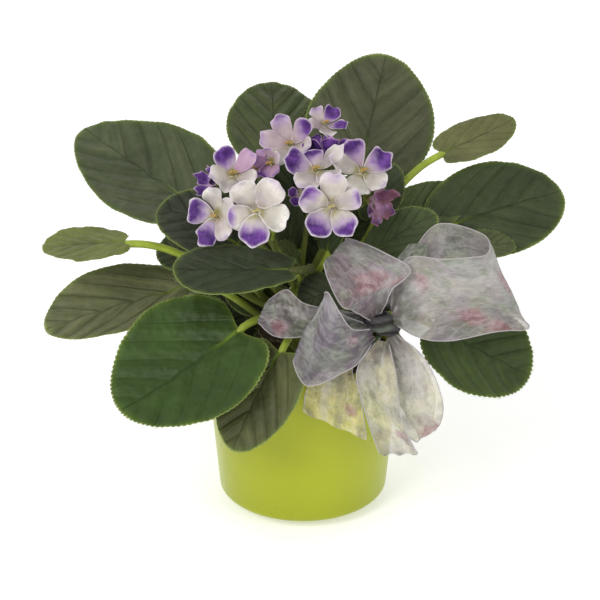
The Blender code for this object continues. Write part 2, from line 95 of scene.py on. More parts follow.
def skin(points, flat=None, wrap=True, ends=(True, True), look=0, **values):
    """A grid of points (rows, columns, xyz) as a skin.

    Quads join each point to its neighbours along and across. wrap joins the last column to the
    first. Each end that is true is closed by triangles to one middle point. flat holds the two
    numbers of the flattened pattern at each point, and values are named numbers kept there.
    look is the number of the skin's material in its piece.
    """
    rows, cols = points.shape[:2]
    verts = points.reshape(-1, 3)
    row = np.arange(rows - 1)[:, None] * cols
    here = np.arange(cols if wrap else cols - 1)[None, :]
    there = (here + 1) % cols
    quads = np.stack([row + here, row + there, row + cols + there, row + cols + here], -1).reshape(-1, 4)
    flat = np.zeros((rows, cols, 2)) if flat is None else flat
    carried = {name: np.broadcast_to(v, (rows, cols)).reshape(-1) for name, v in values.items()}
    flat = flat.reshape(-1, 2)
    tris = []
    for end, first in zip(ends, (0, (rows - 1) * cols)):
        if not end:
            continue
        ring = first + np.arange(cols)
        middle = np.full(cols, len(verts))
        verts = np.vstack([verts, verts[ring].mean(0)])
        flat = np.vstack([flat, flat[ring].mean(0)])
        carried = {name: np.append(v, v[ring].mean()) for name, v in carried.items()}
        nxt = np.roll(ring, -1)
        tris.append(np.stack([middle, nxt, ring] if first == 0 else [middle, ring, nxt], -1))
    tris = np.vstack(tris) if tris else np.zeros((0, 3), int)
    if wrap and all(ends):
        corners = np.vstack([quads[:, [0, 1, 2]], quads[:, [0, 2, 3]], tris])
        a, b, c = (verts[corners[:, i]] for i in range(3))
        if np.einsum("ij,ij->i", a, np.cross(b, c)).sum() < 0:      # inside out: turn every face
            quads, tris = quads[:, ::-1], tris[:, ::-1]
    return {"verts": verts, "quads": quads, "tris": tris, "flat": flat, "look": look, "values": carried}


def bristles(roots, ways, lengths, thick, look=0, **values):
    """Fine hairs: at each root a three-sided needle that runs to a point along its way."""
    ways = ways / np.linalg.norm(ways, axis=1, keepdims=True)
    helper = np.where(np.abs(ways[:, 2:3]) < 0.8, [[0.0, 0.0, 1.0]], [[1.0, 0.0, 0.0]])
    side = np.cross(ways, helper)
    side /= np.linalg.norm(side, axis=1, keepdims=True)
    other = np.cross(ways, side)
    turn = np.radians([0, 120, 240])[None, :, None]
    ring = roots[:, None] + thick * (np.cos(turn) * side[:, None] + np.sin(turn) * other[:, None])
    tip = (roots + ways * lengths[:, None])[:, None]
    verts = np.concatenate([ring, tip], 1).reshape(-1, 3)
    shape = np.array([[1, 0, 3], [2, 1, 3], [0, 2, 3], [0, 1, 2]])
    tris = (4 * np.arange(len(roots))[:, None, None] + shape).reshape(-1, 3)
    carried = {name: np.repeat(np.broadcast_to(v, len(roots)), 4) for name, v in values.items()}
    return {"verts": verts, "quads": np.zeros((0, 4), int), "tris": tris, "look": look,
            "flat": np.zeros((len(verts), 2)), "values": carried}


made = {}                           # triangles of each finished piece


def linked(name, data):
    """A new object with this data, in the scene."""
    obj = bpy.data.objects.new(name, data)
    bpy.context.scene.collection.objects.link(obj)
    return obj


def piece(name, skins, materials, nodes, own=None):
    """Join skins into one smooth mesh piece that rides on the plant and stands for its solids.

    own is a colour given to this piece alone, kept on its points for the material to read; for some pieces it
    holds painted shade.
    """
    start, verts, faces, looks, flat = 0, [], [], [], []
    names = sorted({key for s in skins for key in s["values"]})
    values = {key: [] for key in names}
    for s in skins:
        faces += (s["quads"] + start).tolist() + (s["tris"] + start).tolist()
        looks += [s["look"]] * (len(s["quads"]) + len(s["tris"]))
        verts.append(s["verts"])
        flat.append(s["flat"])
        for key in names:
            values[key].append(s["values"].get(key, np.zeros(len(s["verts"]))))
        start += len(s["verts"])
    mesh = bpy.data.meshes.new(name)
    mesh.from_pydata((np.vstack(verts) * MM).tolist(), [], faces)
    mesh.polygons.foreach_set("material_index", looks)
    corner = np.empty(len(mesh.loops), np.int32)
    mesh.loops.foreach_get("vertex_index", corner)
    pattern = mesh.uv_layers.new(name="Flat")
    pattern.data.foreach_set("uv", np.vstack(flat)[corner].astype(np.float32).ravel())
    for key in names:
        mesh.attributes.new(key, "FLOAT", "POINT").data.foreach_set(
            "value", np.concatenate(values[key]).astype(np.float32))
    if own:
        mesh.attributes.new("piece_colour", "FLOAT_COLOR", "POINT").data.foreach_set(
            "color", np.tile(own, start).astype(np.float32))
    mesh.shade_smooth()
    obj = linked(name, mesh)
    for material in materials:
        mesh.materials.append(material)
    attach(obj, "root")
    if nodes:
        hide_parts(*nodes)
    made[name] = sum(len(f) - 2 for f in faces)
    return obj


# %% [markdown]
# ## Curves to carry things along
# Stalks bend in one easy sweep, so a cubic curve with four control points serves them. The
# ribbon's edges pass through many points, so they use a spline that touches each one. Both are
# worked out for all their points together. `lumps` gives soft random hills, always the same ones.

# %% Curves and hills
def shares(rows, cols):
    """How far along and how far across each point of an open grid lies, both from 0 to 1."""
    return np.meshgrid(np.linspace(0, 1, rows), np.linspace(0, 1, cols), indexing="ij")


def unit(v):
    """Directions of length one."""
    return v / np.linalg.norm(v, axis=-1, keepdims=True)


def cubic(p0, p1, p2, p3, t):
    """Cubic curve: four points mixed by the weights (1-t)^3, 3t(1-t)^2, 3t^2(1-t) and t^3."""
    t = np.asarray(t)[:, None]
    s = 1 - t
    return p0 * s**3 + 3 * p1 * s * s * t + 3 * p2 * s * t * t + p3 * t**3


def through(points, t):
    """Spline through every point: each stretch leaves a point along the line between its neighbours."""
    points = np.asarray(points, float)
    place = np.clip(t, 0, 1) * (len(points) - 1)
    i = np.minimum(place.astype(int), len(points) - 2)
    f = (place - i)[..., None]
    before = np.vstack([2 * points[:1] - points[1:2], points[:-1]])
    after = np.vstack([points[1:], 2 * points[-1:] - points[-2:-1]])
    a, b, back, on = points[i], points[i + 1], before[i], after[i + 1]
    return 0.5 * (2 * a + (b - back) * f + (2 * back - 5 * a + 4 * b - on) * f * f
                  + (3 * a - back - 3 * b + on) * f**3)


def stem(path, radius, sides=12, look=0, **values):
    """A round stem: a ring of points square to the path at each step, with both ends closed."""
    path, radius = np.asarray(path, float), np.broadcast_to(radius, len(path)).astype(float)
    ahead = unit(np.gradient(path, axis=0))
    lean = np.cross(path[-1] - path[0], [0.0, 0.0, 1.0])
    lean = lean if np.linalg.norm(lean) > 1e-3 else np.array([1.0, 0.0, 0.0])
    side = unit(np.cross(ahead, unit(lean)))
    other = np.cross(ahead, side)
    turn = round_turn(sides)[None, :, None]
    ring = np.cos(turn) * side[:, None] + np.sin(turn) * other[:, None]
    points = path[:, None] + radius[:, None, None] * ring
    length = np.append(0, np.cumsum(np.linalg.norm(np.diff(path, axis=0), axis=1)))
    flat = grid(length[:, None] / PATTERN, turn[..., 0] / (2 * np.pi))
    return skin(points, flat, look=look, **values)


def lumps(x, y, size, seed):
    """Soft hills: random heights on a lattice of the given size, blended smoothly in between."""
    lattice = np.random.default_rng(seed).uniform(-1, 1, (64, 64))
    gx, gy = np.asarray(x) / size, np.asarray(y) / size
    ix, iy = np.floor(gx).astype(int), np.floor(gy).astype(int)
    fx, fy = gx - ix, gy - iy
    fx, fy = fx * fx * (3 - 2 * fx), fy * fy * (3 - 2 * fy)
    near = lattice[ix % 64, iy % 64] * (1 - fx) + lattice[(ix + 1) % 64, iy % 64] * fx
    far = lattice[ix % 64, (iy + 1) % 64] * (1 - fx) + lattice[(ix + 1) % 64, (iy + 1) % 64] * fx
    return near * (1 - fy) + far * fy


def ease(low, high, x):
    """0 below low, 1 above high, and an S-shaped rise between them."""
    t = np.clip((x - low) / (high - low), 0, 1)
    return t * t * (3 - 2 * t)


# %% [markdown]
# ## Small helpers for materials
# A material is a small network of nodes. Writing `node(tree, kind, ...)` once keeps each
# material short enough to read as a recipe. Effects that several materials share, such as the
# soft down of hairs, become node groups with named inputs, set differently in each material.

# %% Node helpers
def tint(red, green, blue):
    """A colour given as display values from 0 to 255, as the light values that shaders use."""
    c = np.array([red, green, blue]) / 255
    c = np.where(c <= 0.04045, c / 12.92, ((c + 0.055) / 1.055) ** 2.4)
    return (*c.tolist(), 1.0)


def plug(tree, target, value):
    """Link a socket into another one, or set a plain value on it."""
    if isinstance(value, bpy.types.NodeSocket):
        tree.links.new(value, target)
    else:
        target.default_value = value


def node(tree, kind, inputs=None, **settings):
    """Add a node, with its settings and inputs."""
    n = tree.nodes.new(kind)
    for key, value in settings.items():
        setattr(n, key, value)
    for key, value in (inputs or {}).items():
        plug(tree, n.inputs[key], value)
    return n


def maths(tree, operation, *values, clamp=False):
    """Arithmetic on plain numbers."""
    n = node(tree, "ShaderNodeMath", operation=operation, use_clamp=clamp)
    for socket, value in zip(n.inputs, values):
        plug(tree, socket, value)
    return n.outputs[0]


def times(tree, first, second):
    """The first times the second."""
    return maths(tree, "MULTIPLY", first, second)


def times_plus(tree, first, second, third):
    """The first times the second, plus the third."""
    return maths(tree, "MULTIPLY_ADD", first, second, third)


def minus(tree, first, second):
    """The first less the second."""
    return maths(tree, "SUBTRACT", first, second)


def vector(tree, operation, *values):
    """Arithmetic on places or on colours."""
    n = node(tree, "ShaderNodeVectorMath", dict(enumerate(values)), operation=operation)
    return n.outputs[0]


def mix(tree, factor, first, second, kind="MIX"):
    """Mix two colours."""
    n = node(tree, "ShaderNodeMix", data_type="RGBA", blend_type=kind)
    plug(tree, n.inputs["Factor"], factor)
    plug(tree, n.inputs[6], first)
    plug(tree, n.inputs[7], second)
    return n.outputs[2]


def rise(tree, value, low, high, to_low=0.0, to_high=1.0):
    """Smooth step of a value from low to high."""
    n = node(tree, "ShaderNodeMapRange", {"Value": value, "From Min": low, "From Max": high,
                                          "To Min": to_low, "To Max": to_high},
             interpolation_type="SMOOTHSTEP")
    return n.outputs[0]


def noise(tree, place, scale, detail=2.0, rough=0.5):
    """Soft clouds from 0 to 1; a larger scale makes them smaller."""
    n = node(tree, "ShaderNodeTexNoise", {"Scale": scale, "Detail": detail, "Roughness": rough})
    if place is not None:
        plug(tree, n.inputs["Vector"], place)
    return n.outputs["Fac"]


def kept(tree, name):
    """A named number kept on the piece's points."""
    return node(tree, "ShaderNodeAttribute", attribute_name=name).outputs["Fac"]


def piece_colour(tree):
    """The colour given to one piece, kept on its points; for some pieces it is partly painted shade."""
    return node(tree, "ShaderNodeAttribute", attribute_name="piece_colour").outputs["Color"]


def spot(tree):
    """The place in the plant's own frame, in metres."""
    return node(tree, "ShaderNodeTexCoord").outputs["Object"]


def flat_spot(tree):
    """The place on the flattened pattern."""
    return node(tree, "ShaderNodeUVMap", uv_map="Flat").outputs[0]


def finish(name, **constants):
    """A new material, its tree and its shader. Values that are the same all over are set here."""
    material = bpy.data.materials.new(name)
    material.use_nodes = True
    tree = material.node_tree
    shader = tree.nodes["Principled BSDF"]
    for key, value in constants.items():
        shader.inputs[key.replace("_", " ")].default_value = value
    return material, tree, shader


def layered(tree, colour, *layers):
    """Lay colours over one another: each layer is a mask and the colour that it brings."""
    for mask, shade in layers:
        colour = mix(tree, mask, colour, shade)
    return colour


def thin_lines(tree, value, width):
    """Fine lines where a noise passes through one half."""
    return rise(tree, maths(tree, "ABSOLUTE", minus(tree, value, 0.5)), width, 0.0)


def painted(tree, shader, colour, rough):
    """Give the shader its colour and its roughness."""
    plug(tree, shader.inputs["Base Color"], colour)
    plug(tree, shader.inputs["Roughness"], rough)


def raised(tree, shader, height, strength, depth):
    """Bump the surface by a height map; depth is in metres."""
    bump = node(tree, "ShaderNodeBump", {"Strength": strength, "Distance": depth, "Height": height})
    plug(tree, shader.inputs["Normal"], bump.outputs[0])


def group(name, inputs, outputs):
    """An empty node group with named sockets, and its input and output nodes."""
    tree = bpy.data.node_groups.new(name, "ShaderNodeTree")
    for key, kind, value in inputs:
        socket = tree.interface.new_socket(key, in_out="INPUT", socket_type="NodeSocket" + kind)
        if value is not None:
            socket.default_value = value
    for key, kind in outputs:
        tree.interface.new_socket(key, in_out="OUTPUT", socket_type="NodeSocket" + kind)
    return tree, tree.nodes.new("NodeGroupInput").outputs, tree.nodes.new("NodeGroupOutput").inputs


def use(tree, shared, **inputs):
    """Place a node group in a material, with its own values."""
    n = node(tree, "ShaderNodeGroup", node_tree=shared)
    for key, value in inputs.items():
        plug(tree, n.inputs[key.replace("_", " ")], value)
    return n.outputs


# %% [markdown]
# ## Shared effects
# *Mottle* shifts a colour a little lighter and darker in soft patches, because nothing that
# grew has one even colour. *Down* is the fine bump of soft hairs on leaves, stalks and petals.
# *Leaf veins* draws the ribs: it straightens each curved side rib into a plain number, and a
# rib lies wherever that number is whole.

# %% Mottle, down and vein groups
def make_mottle():
    """Soft lighter and darker patches of one colour."""
    tree, given, out = group("mottle", [("Colour", "Color", None), ("Place", "Vector", None),
                                        ("Scale", "Float", 60.0), ("Amount", "Float", 0.3)],
                             [("Colour", "Color"), ("Patches", "Float")])
    patches = noise(tree, given["Place"], given["Scale"], 4.0, 0.6)
    light = times_plus(tree, minus(tree, patches, 0.5), times(tree, given["Amount"], 4.0), 1.0)
    n = node(tree, "ShaderNodeVectorMath", {0: given["Colour"], "Scale": light}, operation="SCALE")
    plug(tree, out["Colour"], n.outputs[0])
    plug(tree, out["Patches"], patches)
    return tree


def make_down():
    """The bump of fine hairs, and the bright specks where they catch the light."""
    tree, given, out = group("down", [("Place", "Vector", None), ("Fineness", "Float", 1.0)],
                             [("Height", "Float"), ("Speckle", "Float")])
    fine = noise(tree, given["Place"], times(tree, given["Fineness"], 1400.0), 2.0, 0.7)
    soft = noise(tree, given["Place"], times(tree, given["Fineness"], 420.0), 2.0, 0.5)
    plug(tree, out["Height"], times_plus(tree, soft, 0.6, times(tree, fine, 0.4)))
    plug(tree, out["Speckle"], rise(tree, fine, 0.55, 0.8))
    return tree


VEIN_PAIRS, LOBE_VEINS = 4.8, 2.6


def vein_phase(along, across):
    """Number of the side rib at a place: ribs curve forward by 0.42|across| + 0.20 across squared."""
    wide = np.abs(across)
    start = along - (0.42 * wide + 0.20 * wide**2)
    return np.where(start > 0, VEIN_PAIRS * start, LOBE_VEINS * start / (wide + 0.03))


def make_veins():
    """Side ribs, midrib and the streaks between them, from the flat leaf coordinates."""
    tree, given, out = group("leaf veins", [("Along", "Float", 0.0), ("Across", "Float", 0.0),
                                            ("Width", "Float", 0.16)],
                             [("Side veins", "Float"), ("Midrib", "Float"), ("Streaks", "Float")])
    wide = maths(tree, "ABSOLUTE", given["Across"])
    sweep = times_plus(tree, times(tree, wide, wide), 0.20, times(tree, wide, 0.42))
    start = minus(tree, given["Along"], sweep)
    ahead = times(tree, maths(tree, "MAXIMUM", start, 0.0), VEIN_PAIRS)
    behind = maths(tree, "DIVIDE", times(tree, maths(tree, "MINIMUM", start, 0.0), LOBE_VEINS),
                   maths(tree, "ADD", wide, 0.03))
    phase = maths(tree, "ADD", ahead, behind)
    off = maths(tree, "ABSOLUTE", minus(tree, phase, maths(tree, "ROUND", phase)))
    thin = times(tree, given["Width"], rise(tree, wide, 0.0, 1.0, 1.0, 0.45))
    side = rise(tree, maths(tree, "DIVIDE", off, thin), 1.0, 0.0)
    plug(tree, out["Side veins"], times(tree, side, rise(tree, wide, 0.97, 0.7)))
    taper = rise(tree, given["Along"], 1.0, 0.0, 0.010, 0.038)
    plug(tree, out["Midrib"], rise(tree, maths(tree, "DIVIDE", wide, taper), 1.0, 0.25))
    lane = node(tree, "ShaderNodeCombineXYZ", {0: times(tree, phase, 2.6),
                                               1: times(tree, given["Across"], 1.7),
                                               2: times(tree, given["Along"], 1.1)}).outputs[0]
    plug(tree, out["Streaks"], noise(tree, lane, 1.0, 3.0, 0.6))
    return tree


mottle, down, leaf_veins = make_mottle(), make_down(), make_veins()
print("shared effects:", mottle.name, down.name, leaf_veins.name)

# %% [markdown]
# ## Leaf and stalk finishes
# An African violet leaf is velvet: dark green, puffed up between sunken ribs and covered with
# short pale hairs that catch the light at a slant. Sheen on the shader gives that glancing
# glow. The back of the leaf is pale, and the stalks are a juicy yellow green.

# %% Velvet leaf
def make_leaf_velvet():
    """Upper face in the leaf's own green with painted sheen and shade in streaks, painted shade on the ribs; a
    paler lower face; a painted rim glow.
    """
    material, tree, shader = finish("leaf_velvet", Sheen_Weight=0.06, Sheen_Roughness=0.45,
                                    Sheen_Tint=tint(170, 182, 140), Specular_IOR_Level=0.24)
    along, across, reach, back = (kept(tree, n) for n in ("along", "across", "reach", "back"))
    own = piece_colour(tree)
    veins = use(tree, leaf_veins, Along=along, Across=across)
    side, midrib, streaks = veins["Side veins"], veins["Midrib"], veins["Streaks"]
    cells = node(tree, "ShaderNodeTexVoronoi", {"Vector": flat_spot(tree), "Scale": 26.0},
                 feature="SMOOTH_F1").outputs["Distance"]
    # dark is a shaded copy of the leaf's green, for painted shade; light is a paler copy, for painted sheen in
    # the streaks and for the paler borders of the puffs.
    dark = mix(tree, 1.0, own, (0.50, 0.58, 0.46, 1.0), "MULTIPLY")
    light = mix(tree, 1.0, own, (1.62, 1.52, 1.50, 1.0), "MULTIPLY")
    bold = minus(tree, 1.0, times(tree, kept(tree, "plain"), 0.75))
    side = times(tree, side, bold)
    root = times(tree, rise(tree, along, 0.40, 0.06),
                 rise(tree, maths(tree, "ABSOLUTE", across), 0.055, 0.012))
    edge = times_plus(tree, noise(tree, spot(tree), 90.0), 0.05, minus(tree, reach, 0.025))
    # Painted shade and sheen in streaks along the ribs, paler puff borders, painted shade in the sunken ribs,
    # the leaf's own paler green where the stalk runs in, and a painted glow of light through the rim.
    face = layered(
        tree, own,
        (times(tree, rise(tree, streaks, 0.30, 0.52, 0.60, 0.0), bold), dark),
        (times(tree, rise(tree, streaks, 0.50, 0.72, 0.0, 0.65), bold), light),
        (times(tree, rise(tree, cells, 0.35, 0.8), 0.22), light),
        (times(tree, side, 0.30), dark), (times(tree, midrib, 0.42), dark),
        (times(tree, root, 0.85), tint(116, 142, 42)),
        (rise(tree, edge, 0.87, 0.99, 0.0, 0.30), tint(98, 124, 34)),
        (rise(tree, edge, 0.965, 0.995, 0.0, 0.75), tint(136, 150, 78)))
    under = layered(tree, tint(104, 116, 68), (side, tint(136, 146, 92)), (midrib, tint(150, 160, 96)))
    colour = mix(tree, back, face, under)
    soft = use(tree, down, Place=spot(tree), Fineness=1.0)
    blend = use(tree, mottle, Colour=colour, Place=spot(tree), Scale=38.0, Amount=0.30)
    # The down's specks are painted glints where hairs catch the light.
    speckled = mix(tree, times(tree, soft["Speckle"], 0.08), blend["Colour"], tint(132, 140, 96))
    painted(tree, shader, speckled, rise(tree, blend["Patches"], 0.3, 0.7, 0.44, 0.6))
    ribs = maths(tree, "MAXIMUM", side, midrib)
    puff = minus(tree, times(tree, cells, -0.5), times(tree, ribs, 0.6))
    puff = times_plus(tree, times(tree, streaks, bold), 1.2, puff)
    height = times_plus(tree, soft["Height"], 0.22, puff)
    raised(tree, shader, height, 0.9, 0.0012)
    return material


def make_stalk_skin():
    """Juicy yellow green stem, dark olive where it is ripe, and dark olive as painted shade on stalks deep in
    the plant.
    """
    material, tree, shader = finish("stalk_skin", Sheen_Weight=0.2, Sheen_Roughness=0.4,
                                    Sheen_Tint=tint(200, 210, 150), Specular_IOR_Level=0.35)
    ripe = kept(tree, "ripe")
    colour = mix(tree, ripe, tint(160, 178, 58), tint(62, 62, 34))
    blend = use(tree, mottle, Colour=colour, Place=spot(tree), Scale=90.0, Amount=0.25)
    soft = use(tree, down, Place=spot(tree), Fineness=1.2)
    # The down's specks are painted glints where hairs catch the light.
    speckled = mix(tree, times(tree, soft["Speckle"], 0.3), blend["Colour"], tint(150, 160, 90))
    painted(tree, shader, speckled, rise(tree, blend["Patches"], 0.3, 0.7, 0.38, 0.55))
    raised(tree, shader, soft["Height"], 0.5, 0.0004)
    return material


def make_hair():
    """Glassy plant hair: olive on the faces, and paler as a painted highlight where it stands out from rims and
    stalks.
    """
    material, tree, shader = finish("plant_hair", Specular_IOR_Level=0.3, Sheen_Weight=0.1)
    patches = noise(tree, spot(tree), 300.0)
    olive = mix(tree, rise(tree, patches, 0.35, 0.65), tint(70, 80, 48), tint(100, 110, 72))
    painted(tree, shader, mix(tree, kept(tree, "pale"), olive, tint(168, 178, 120)),
            rise(tree, patches, 0.3, 0.7, 0.45, 0.65))
    return material


leaf_velvet, stalk_skin, plant_hair = make_leaf_velvet(), make_stalk_skin(), make_hair()
print("finishes:", leaf_velvet.name, stalk_skin.name, plant_hair.name)

# %% [markdown]
# ## Leaves
# Each blade is an egg-shaped disc with a notch where its stalk joins and a scalloped edge. It is
# described in flat leaf coordinates: how far *along* the midrib and how far *across* it. From
# there, gentle formulas lift it: an arch along the midrib, a cup across it, puffs between ribs.
# One grid runs from the middle of the upper face over the edge to the middle of the back, so the
# blade is closed and has thickness. A table places every leaf as the frame's solids have it.

# %% Leaf table
SERRATED = {"lower_left": 0.75, "lower_right": 0.8, "upper_right": 0.5}       # depth of the scallops
PLAIN = {"small_left": 0.85, "small_right": 0.8, "lower_left": 0.8, "right": 0.55,
         "lower_right": 0.5, "left": 0.0, "front": 0.35}                      # how faint the ribs are
SHADED = {"centre_left": 0.9, "lower_left": 0.3}         # stalks painted dark olive all along, as painted shade
# name: (compass angle, height and steepness where the stalk leaves the crown, and its stiffness
# where it isn't the common one),
# blade base, blade tip, width, roll, arch, egg shape, cup, own colour
# The darkest own colours, of leaves deep in the plant, are partly their green and partly painted shade.
LEAVES = {
    "upper_left": ((147, 112, 25), (-56, 37, 158), (-131, 95, 188), 76, 17, -2, 0.26, 0.17, (76, 84, 58)),
    "upper_middle": ((107, 119, 55), (-15, 56, 175), (-19, 123, 207), 57, 0, 2, 0.19, 0.13, (70, 79, 47)),
    "upper_right": ((57, 114, 40), (31, 48, 169), (50, 118, 226), 76, -9, 0, 0.21, 0.11, (78, 82, 58)),
    "small_right": ((30, 106, 35), (76, 41, 190), (122, 61, 205), 31, -22, -1, 0.06, 0.04, (98, 100, 62)),
    "right": ((10, 113, 25), (71, 13, 154), (149, 38, 169), 61, -38, 3, 0.06, 0.07, (60, 70, 43)),
    "right_inner": ((355, 103, 25), (88, -7, 149), (119, 1, 152), 24, -19, 3, 0.05, 0.12, (78, 86, 52)),
    "centre_right": ((331, 121, 35), (34, -19, 150), (74, -6, 173), 29, -29, 4, 0.02, 0.13, (66, 78, 46)),
    "lower_right": ((330, 98, 20), (67, -34, 122), (126, -46, 93), 65, -27, -2, 0.0, 0.09, (62, 77, 38)),
    "small_left": ((184, 108, 20), (-95, -5, 156), (-145, -11, 155), 38, 7, 0, -0.09, 0.04, (108, 116, 60)),
    "left": ((181, 98, 15), (-58, 9, 124), (-145, -21, 109), 58, 14, 2, -0.06, 0.2, (100, 104, 70)),
    "lower_left": ((232, 106, 20), (-29, -38, 123), (-99, -80, 88), 84, 21, -3, 0.14, 0.17, (55, 76, 32)),
    "front": ((262, 103, 25), (-10, -50, 115), (-38, -80, 64), 49, 14, 4, 0.2, 0.1, (80, 84, 50)),
    "centre_left": ((290, 124, 80, 0.6), (-1, -36, 153), (-71, -40, 154), 37, 23, 0, -0.2, 0.03, (52, 60, 40)),
    "behind_blooms": ((192, 117, 30), (-33, -7, 152), (-81, 7, 172), 46, 29, 5, 0.12, 0.13, (52, 57, 42)),
    "shaded_left": ((168, 104, 25), (-44, 11, 135), (-83, 27, 141), 40, 25, 3, 0.1, 0.1, (56, 64, 40)),
    "narrow_right": ((20, 119, 50), (39, 8, 161), (51, 36, 187), 26, -5, 2, 0.1, 0.1, (60, 70, 42)),
    "behind_bow": ((308, 112, 45), (23, -31, 136), (-3, -38, 133), 32, 25, 3, 0.05, 0.1, (54, 62, 40)),
    "young_front": ((252, 124, 80), (-3, -12, 143), (-13, -9, 158), 14, 15, 1, 0.1, 0.1, (76, 88, 46)),
    "young_left": ((150, 126, 80), (-6, 0, 146), (-15, 7, 180), 28, 0, 2, 0.1, 0.1, (56, 66, 38)),
    "young_right": ((15, 126, 75), (13, -10, 150), (25, -4, 179), 26, -5, 2, 0.1, 0.1, (58, 68, 40)),
    "rear_left": ((98, 102, 20), (-8, 52, 128), (-14, 114, 114), 58, 0, 4, 0.15, 0.1, (76, 88, 52)),
    "rear_right": ((42, 98, 20), (45, 40, 128), (95, 82, 112), 56, 0, 4, 0.15, 0.1, (76, 88, 52)),
}
STIFFNESS = 0.4                     # the common one: share of its reach that a stalk goes straight
CROWN_RADIUS, CROWN_BOTTOM, CROWN_TOP = 9.0, 58.0, 127.0
SCALLOP = 3.1                       # mm of rim to one scallop
RIM_HAIRS, FACE_HAIRS = 2.2, 0.14   # hairs to a millimetre of length and width, and to a square millimetre
LEAF_HAIR, STALK_HAIR = 0.05, 0.045  # how thick the hairs are


# %% Shape of one blade
def leaf_frame(base, tip, roll):
    """Unit directions of a blade: along its midrib, across it, and out of its upper face."""
    along = unit(tip - base)
    side = unit(np.cross(along, [0.0, 0.0, 1.0]))
    up = np.cross(side, along)
    turn = math.radians(roll)
    across = side * math.cos(turn) + up * math.sin(turn)
    return along, -across, np.cross(across, along)


def leaf_place(a, b, values):
    """Put flat leaf coordinates in space, by the arch 4h a(1-a) and the cup c b b w/2."""
    _, base, tip, width, roll, arch, _, cup, _ = values
    base, tip = np.array(base, float), np.array(tip, float)
    length = np.linalg.norm(tip - base)
    along, across, face = leaf_frame(base, tip, roll)
    lift = 4 * arch * a * (1 - a) + cup * b * b * width / 2
    flat = base + (a * length)[..., None] * along + (b * width / 2)[..., None] * across
    return flat + lift[..., None] * face, along, across, face, length


def blade(values, seed, deep, plain):
    """A closed blade with scalloped edge, puffed between its ribs.

    Reach runs from 0 in the middle to 1 at the edge, and the angle goes round. The edge is the
    egg (0.5 + 0.5 cos, sin (1 - egg cos)), notched at the stalk by two bells. Scallops push the
    edge in and out, and every point moves off the mid sheet by half the thickness.
    """
    _, base, tip, width, _, _, egg, _, _ = values
    length = math.dist(base, tip)
    teeth = max(16, round(1.62 * (length + width) / SCALLOP))
    inner = np.append(np.linspace(0.06, 0.9, 6 + round(width / 5.5)), [0.935, 0.965, 0.987])
    reach, side, angle = disc_grid(inner, teeth * 4, inner[::-2])
    back = 1.0 * (side < 0)
    round_at = 0.5 + 0.5 * np.cos(angle)
    near_stalk = np.abs(np.abs((angle + np.pi) % (2 * np.pi) - np.pi) - np.pi)
    round_at = round_at + 0.07 * np.exp(-(near_stalk / 0.28) ** 2)
    round_at = round_at - 0.035 * np.exp(-((near_stalk - 0.62) / 0.3) ** 2)
    wide_at = np.sin(angle) * (1 - egg * np.cos(angle))
    wobble = np.random.default_rng(seed)
    scallop = np.abs(np.sin(teeth * angle / 2)) ** 0.75
    scallop = scallop * (1 + 0.25 * np.interp(angle, np.linspace(0, 2 * np.pi, 33),
                                              wobble.uniform(-1, 1, 33)))
    edge = 0.985 - 0.018 * deep + 3.8 * deep / (length + width) * scallop * ease(0.15, 0.5, near_stalk)
    grown = reach * (1 + (edge - 1) * ease(0.8, 1.0, reach))
    a, b = 0.5 + grown * (round_at - 0.5), grown * wide_at
    x, y = a * length, b * width / 2
    mid, along, across, face, _ = leaf_place(a, b, values)
    phase = vein_phase(a, b)
    off = np.abs(phase - np.round(phase))
    puff = (1.30 * ease(0.0, 0.45, off) - 0.65) * min(width / 60, 1) * (1 - 0.5 * plain)
    rib = np.exp(-(y / (0.9 + width * 0.012)) ** 2) * ease(1.0, 0.75, a)
    knobs = 0.22 * lumps(x, y, 2.9, seed) + 0.4 * lumps(x, y, 11, seed + 1)
    sway = 0.012 * (length + width) / 2 * reach**3 * np.sin(3 * angle + seed) \
        + 0.7 * reach**6 * lumps(angle * 6, 0 * angle, 1.0, seed + 2)
    calm = ease(1.0, 0.9, reach)
    lift = (puff + knobs) * calm + sway - 0.45 * rib * (1 - back) - 0.75 * rib * back
    thick = 0.12 + 0.36 * np.sqrt(np.clip(1 - reach**4, 0, 1))
    points = mid + (lift + side * thick)[..., None] * face
    flat = np.stack([x / PATTERN, y / PATTERN], -1)
    return skin(points, flat, along=a, across=b, reach=reach, back=back, plain=plain)


def rim_hairs(values, seed):
    """Short pale hairs round the edge and over the upper face, leaning outwards at random."""
    _, base, tip, width, _, _, egg, _, _ = values
    length = math.dist(base, tip)
    chance = np.random.default_rng(seed + 50)
    on_rim, on_face = round(RIM_HAIRS * (length + width)), round(FACE_HAIRS * length * width)
    angle = chance.uniform(0, 2 * np.pi, on_rim + on_face)
    reach = np.append(np.full(on_rim, 0.985), np.sqrt(chance.uniform(0, 0.96, on_face)))
    round_at = 0.5 + 0.5 * np.cos(angle)
    wide_at = np.sin(angle) * (1 - egg * np.cos(angle))
    a, b = 0.5 + reach * (round_at - 0.5), reach * wide_at
    roots, along, across, face, _ = leaf_place(a, b, values)
    out = np.cos(angle)[:, None] * along + np.sin(angle)[:, None] * across
    edge = reach > 0.98
    lean = np.where(edge[:, None], out + face * chance.normal(0, 0.45, len(a))[:, None],
                    face + 0.5 * out)
    lean = lean + chance.normal(0, 0.25, (len(a), 3))
    roots = roots + np.where(edge, 0.0, 0.45)[:, None] * face
    lengths = np.where(edge, chance.uniform(1.0, 2.0, len(a)), chance.uniform(0.5, 1.0, len(a)))
    # Rim hairs are pale as a painted highlight; face hairs stay olive.
    return bristles(roots, lean, lengths, LEAF_HAIR, pale=np.where(edge, 1.0, 0.0))


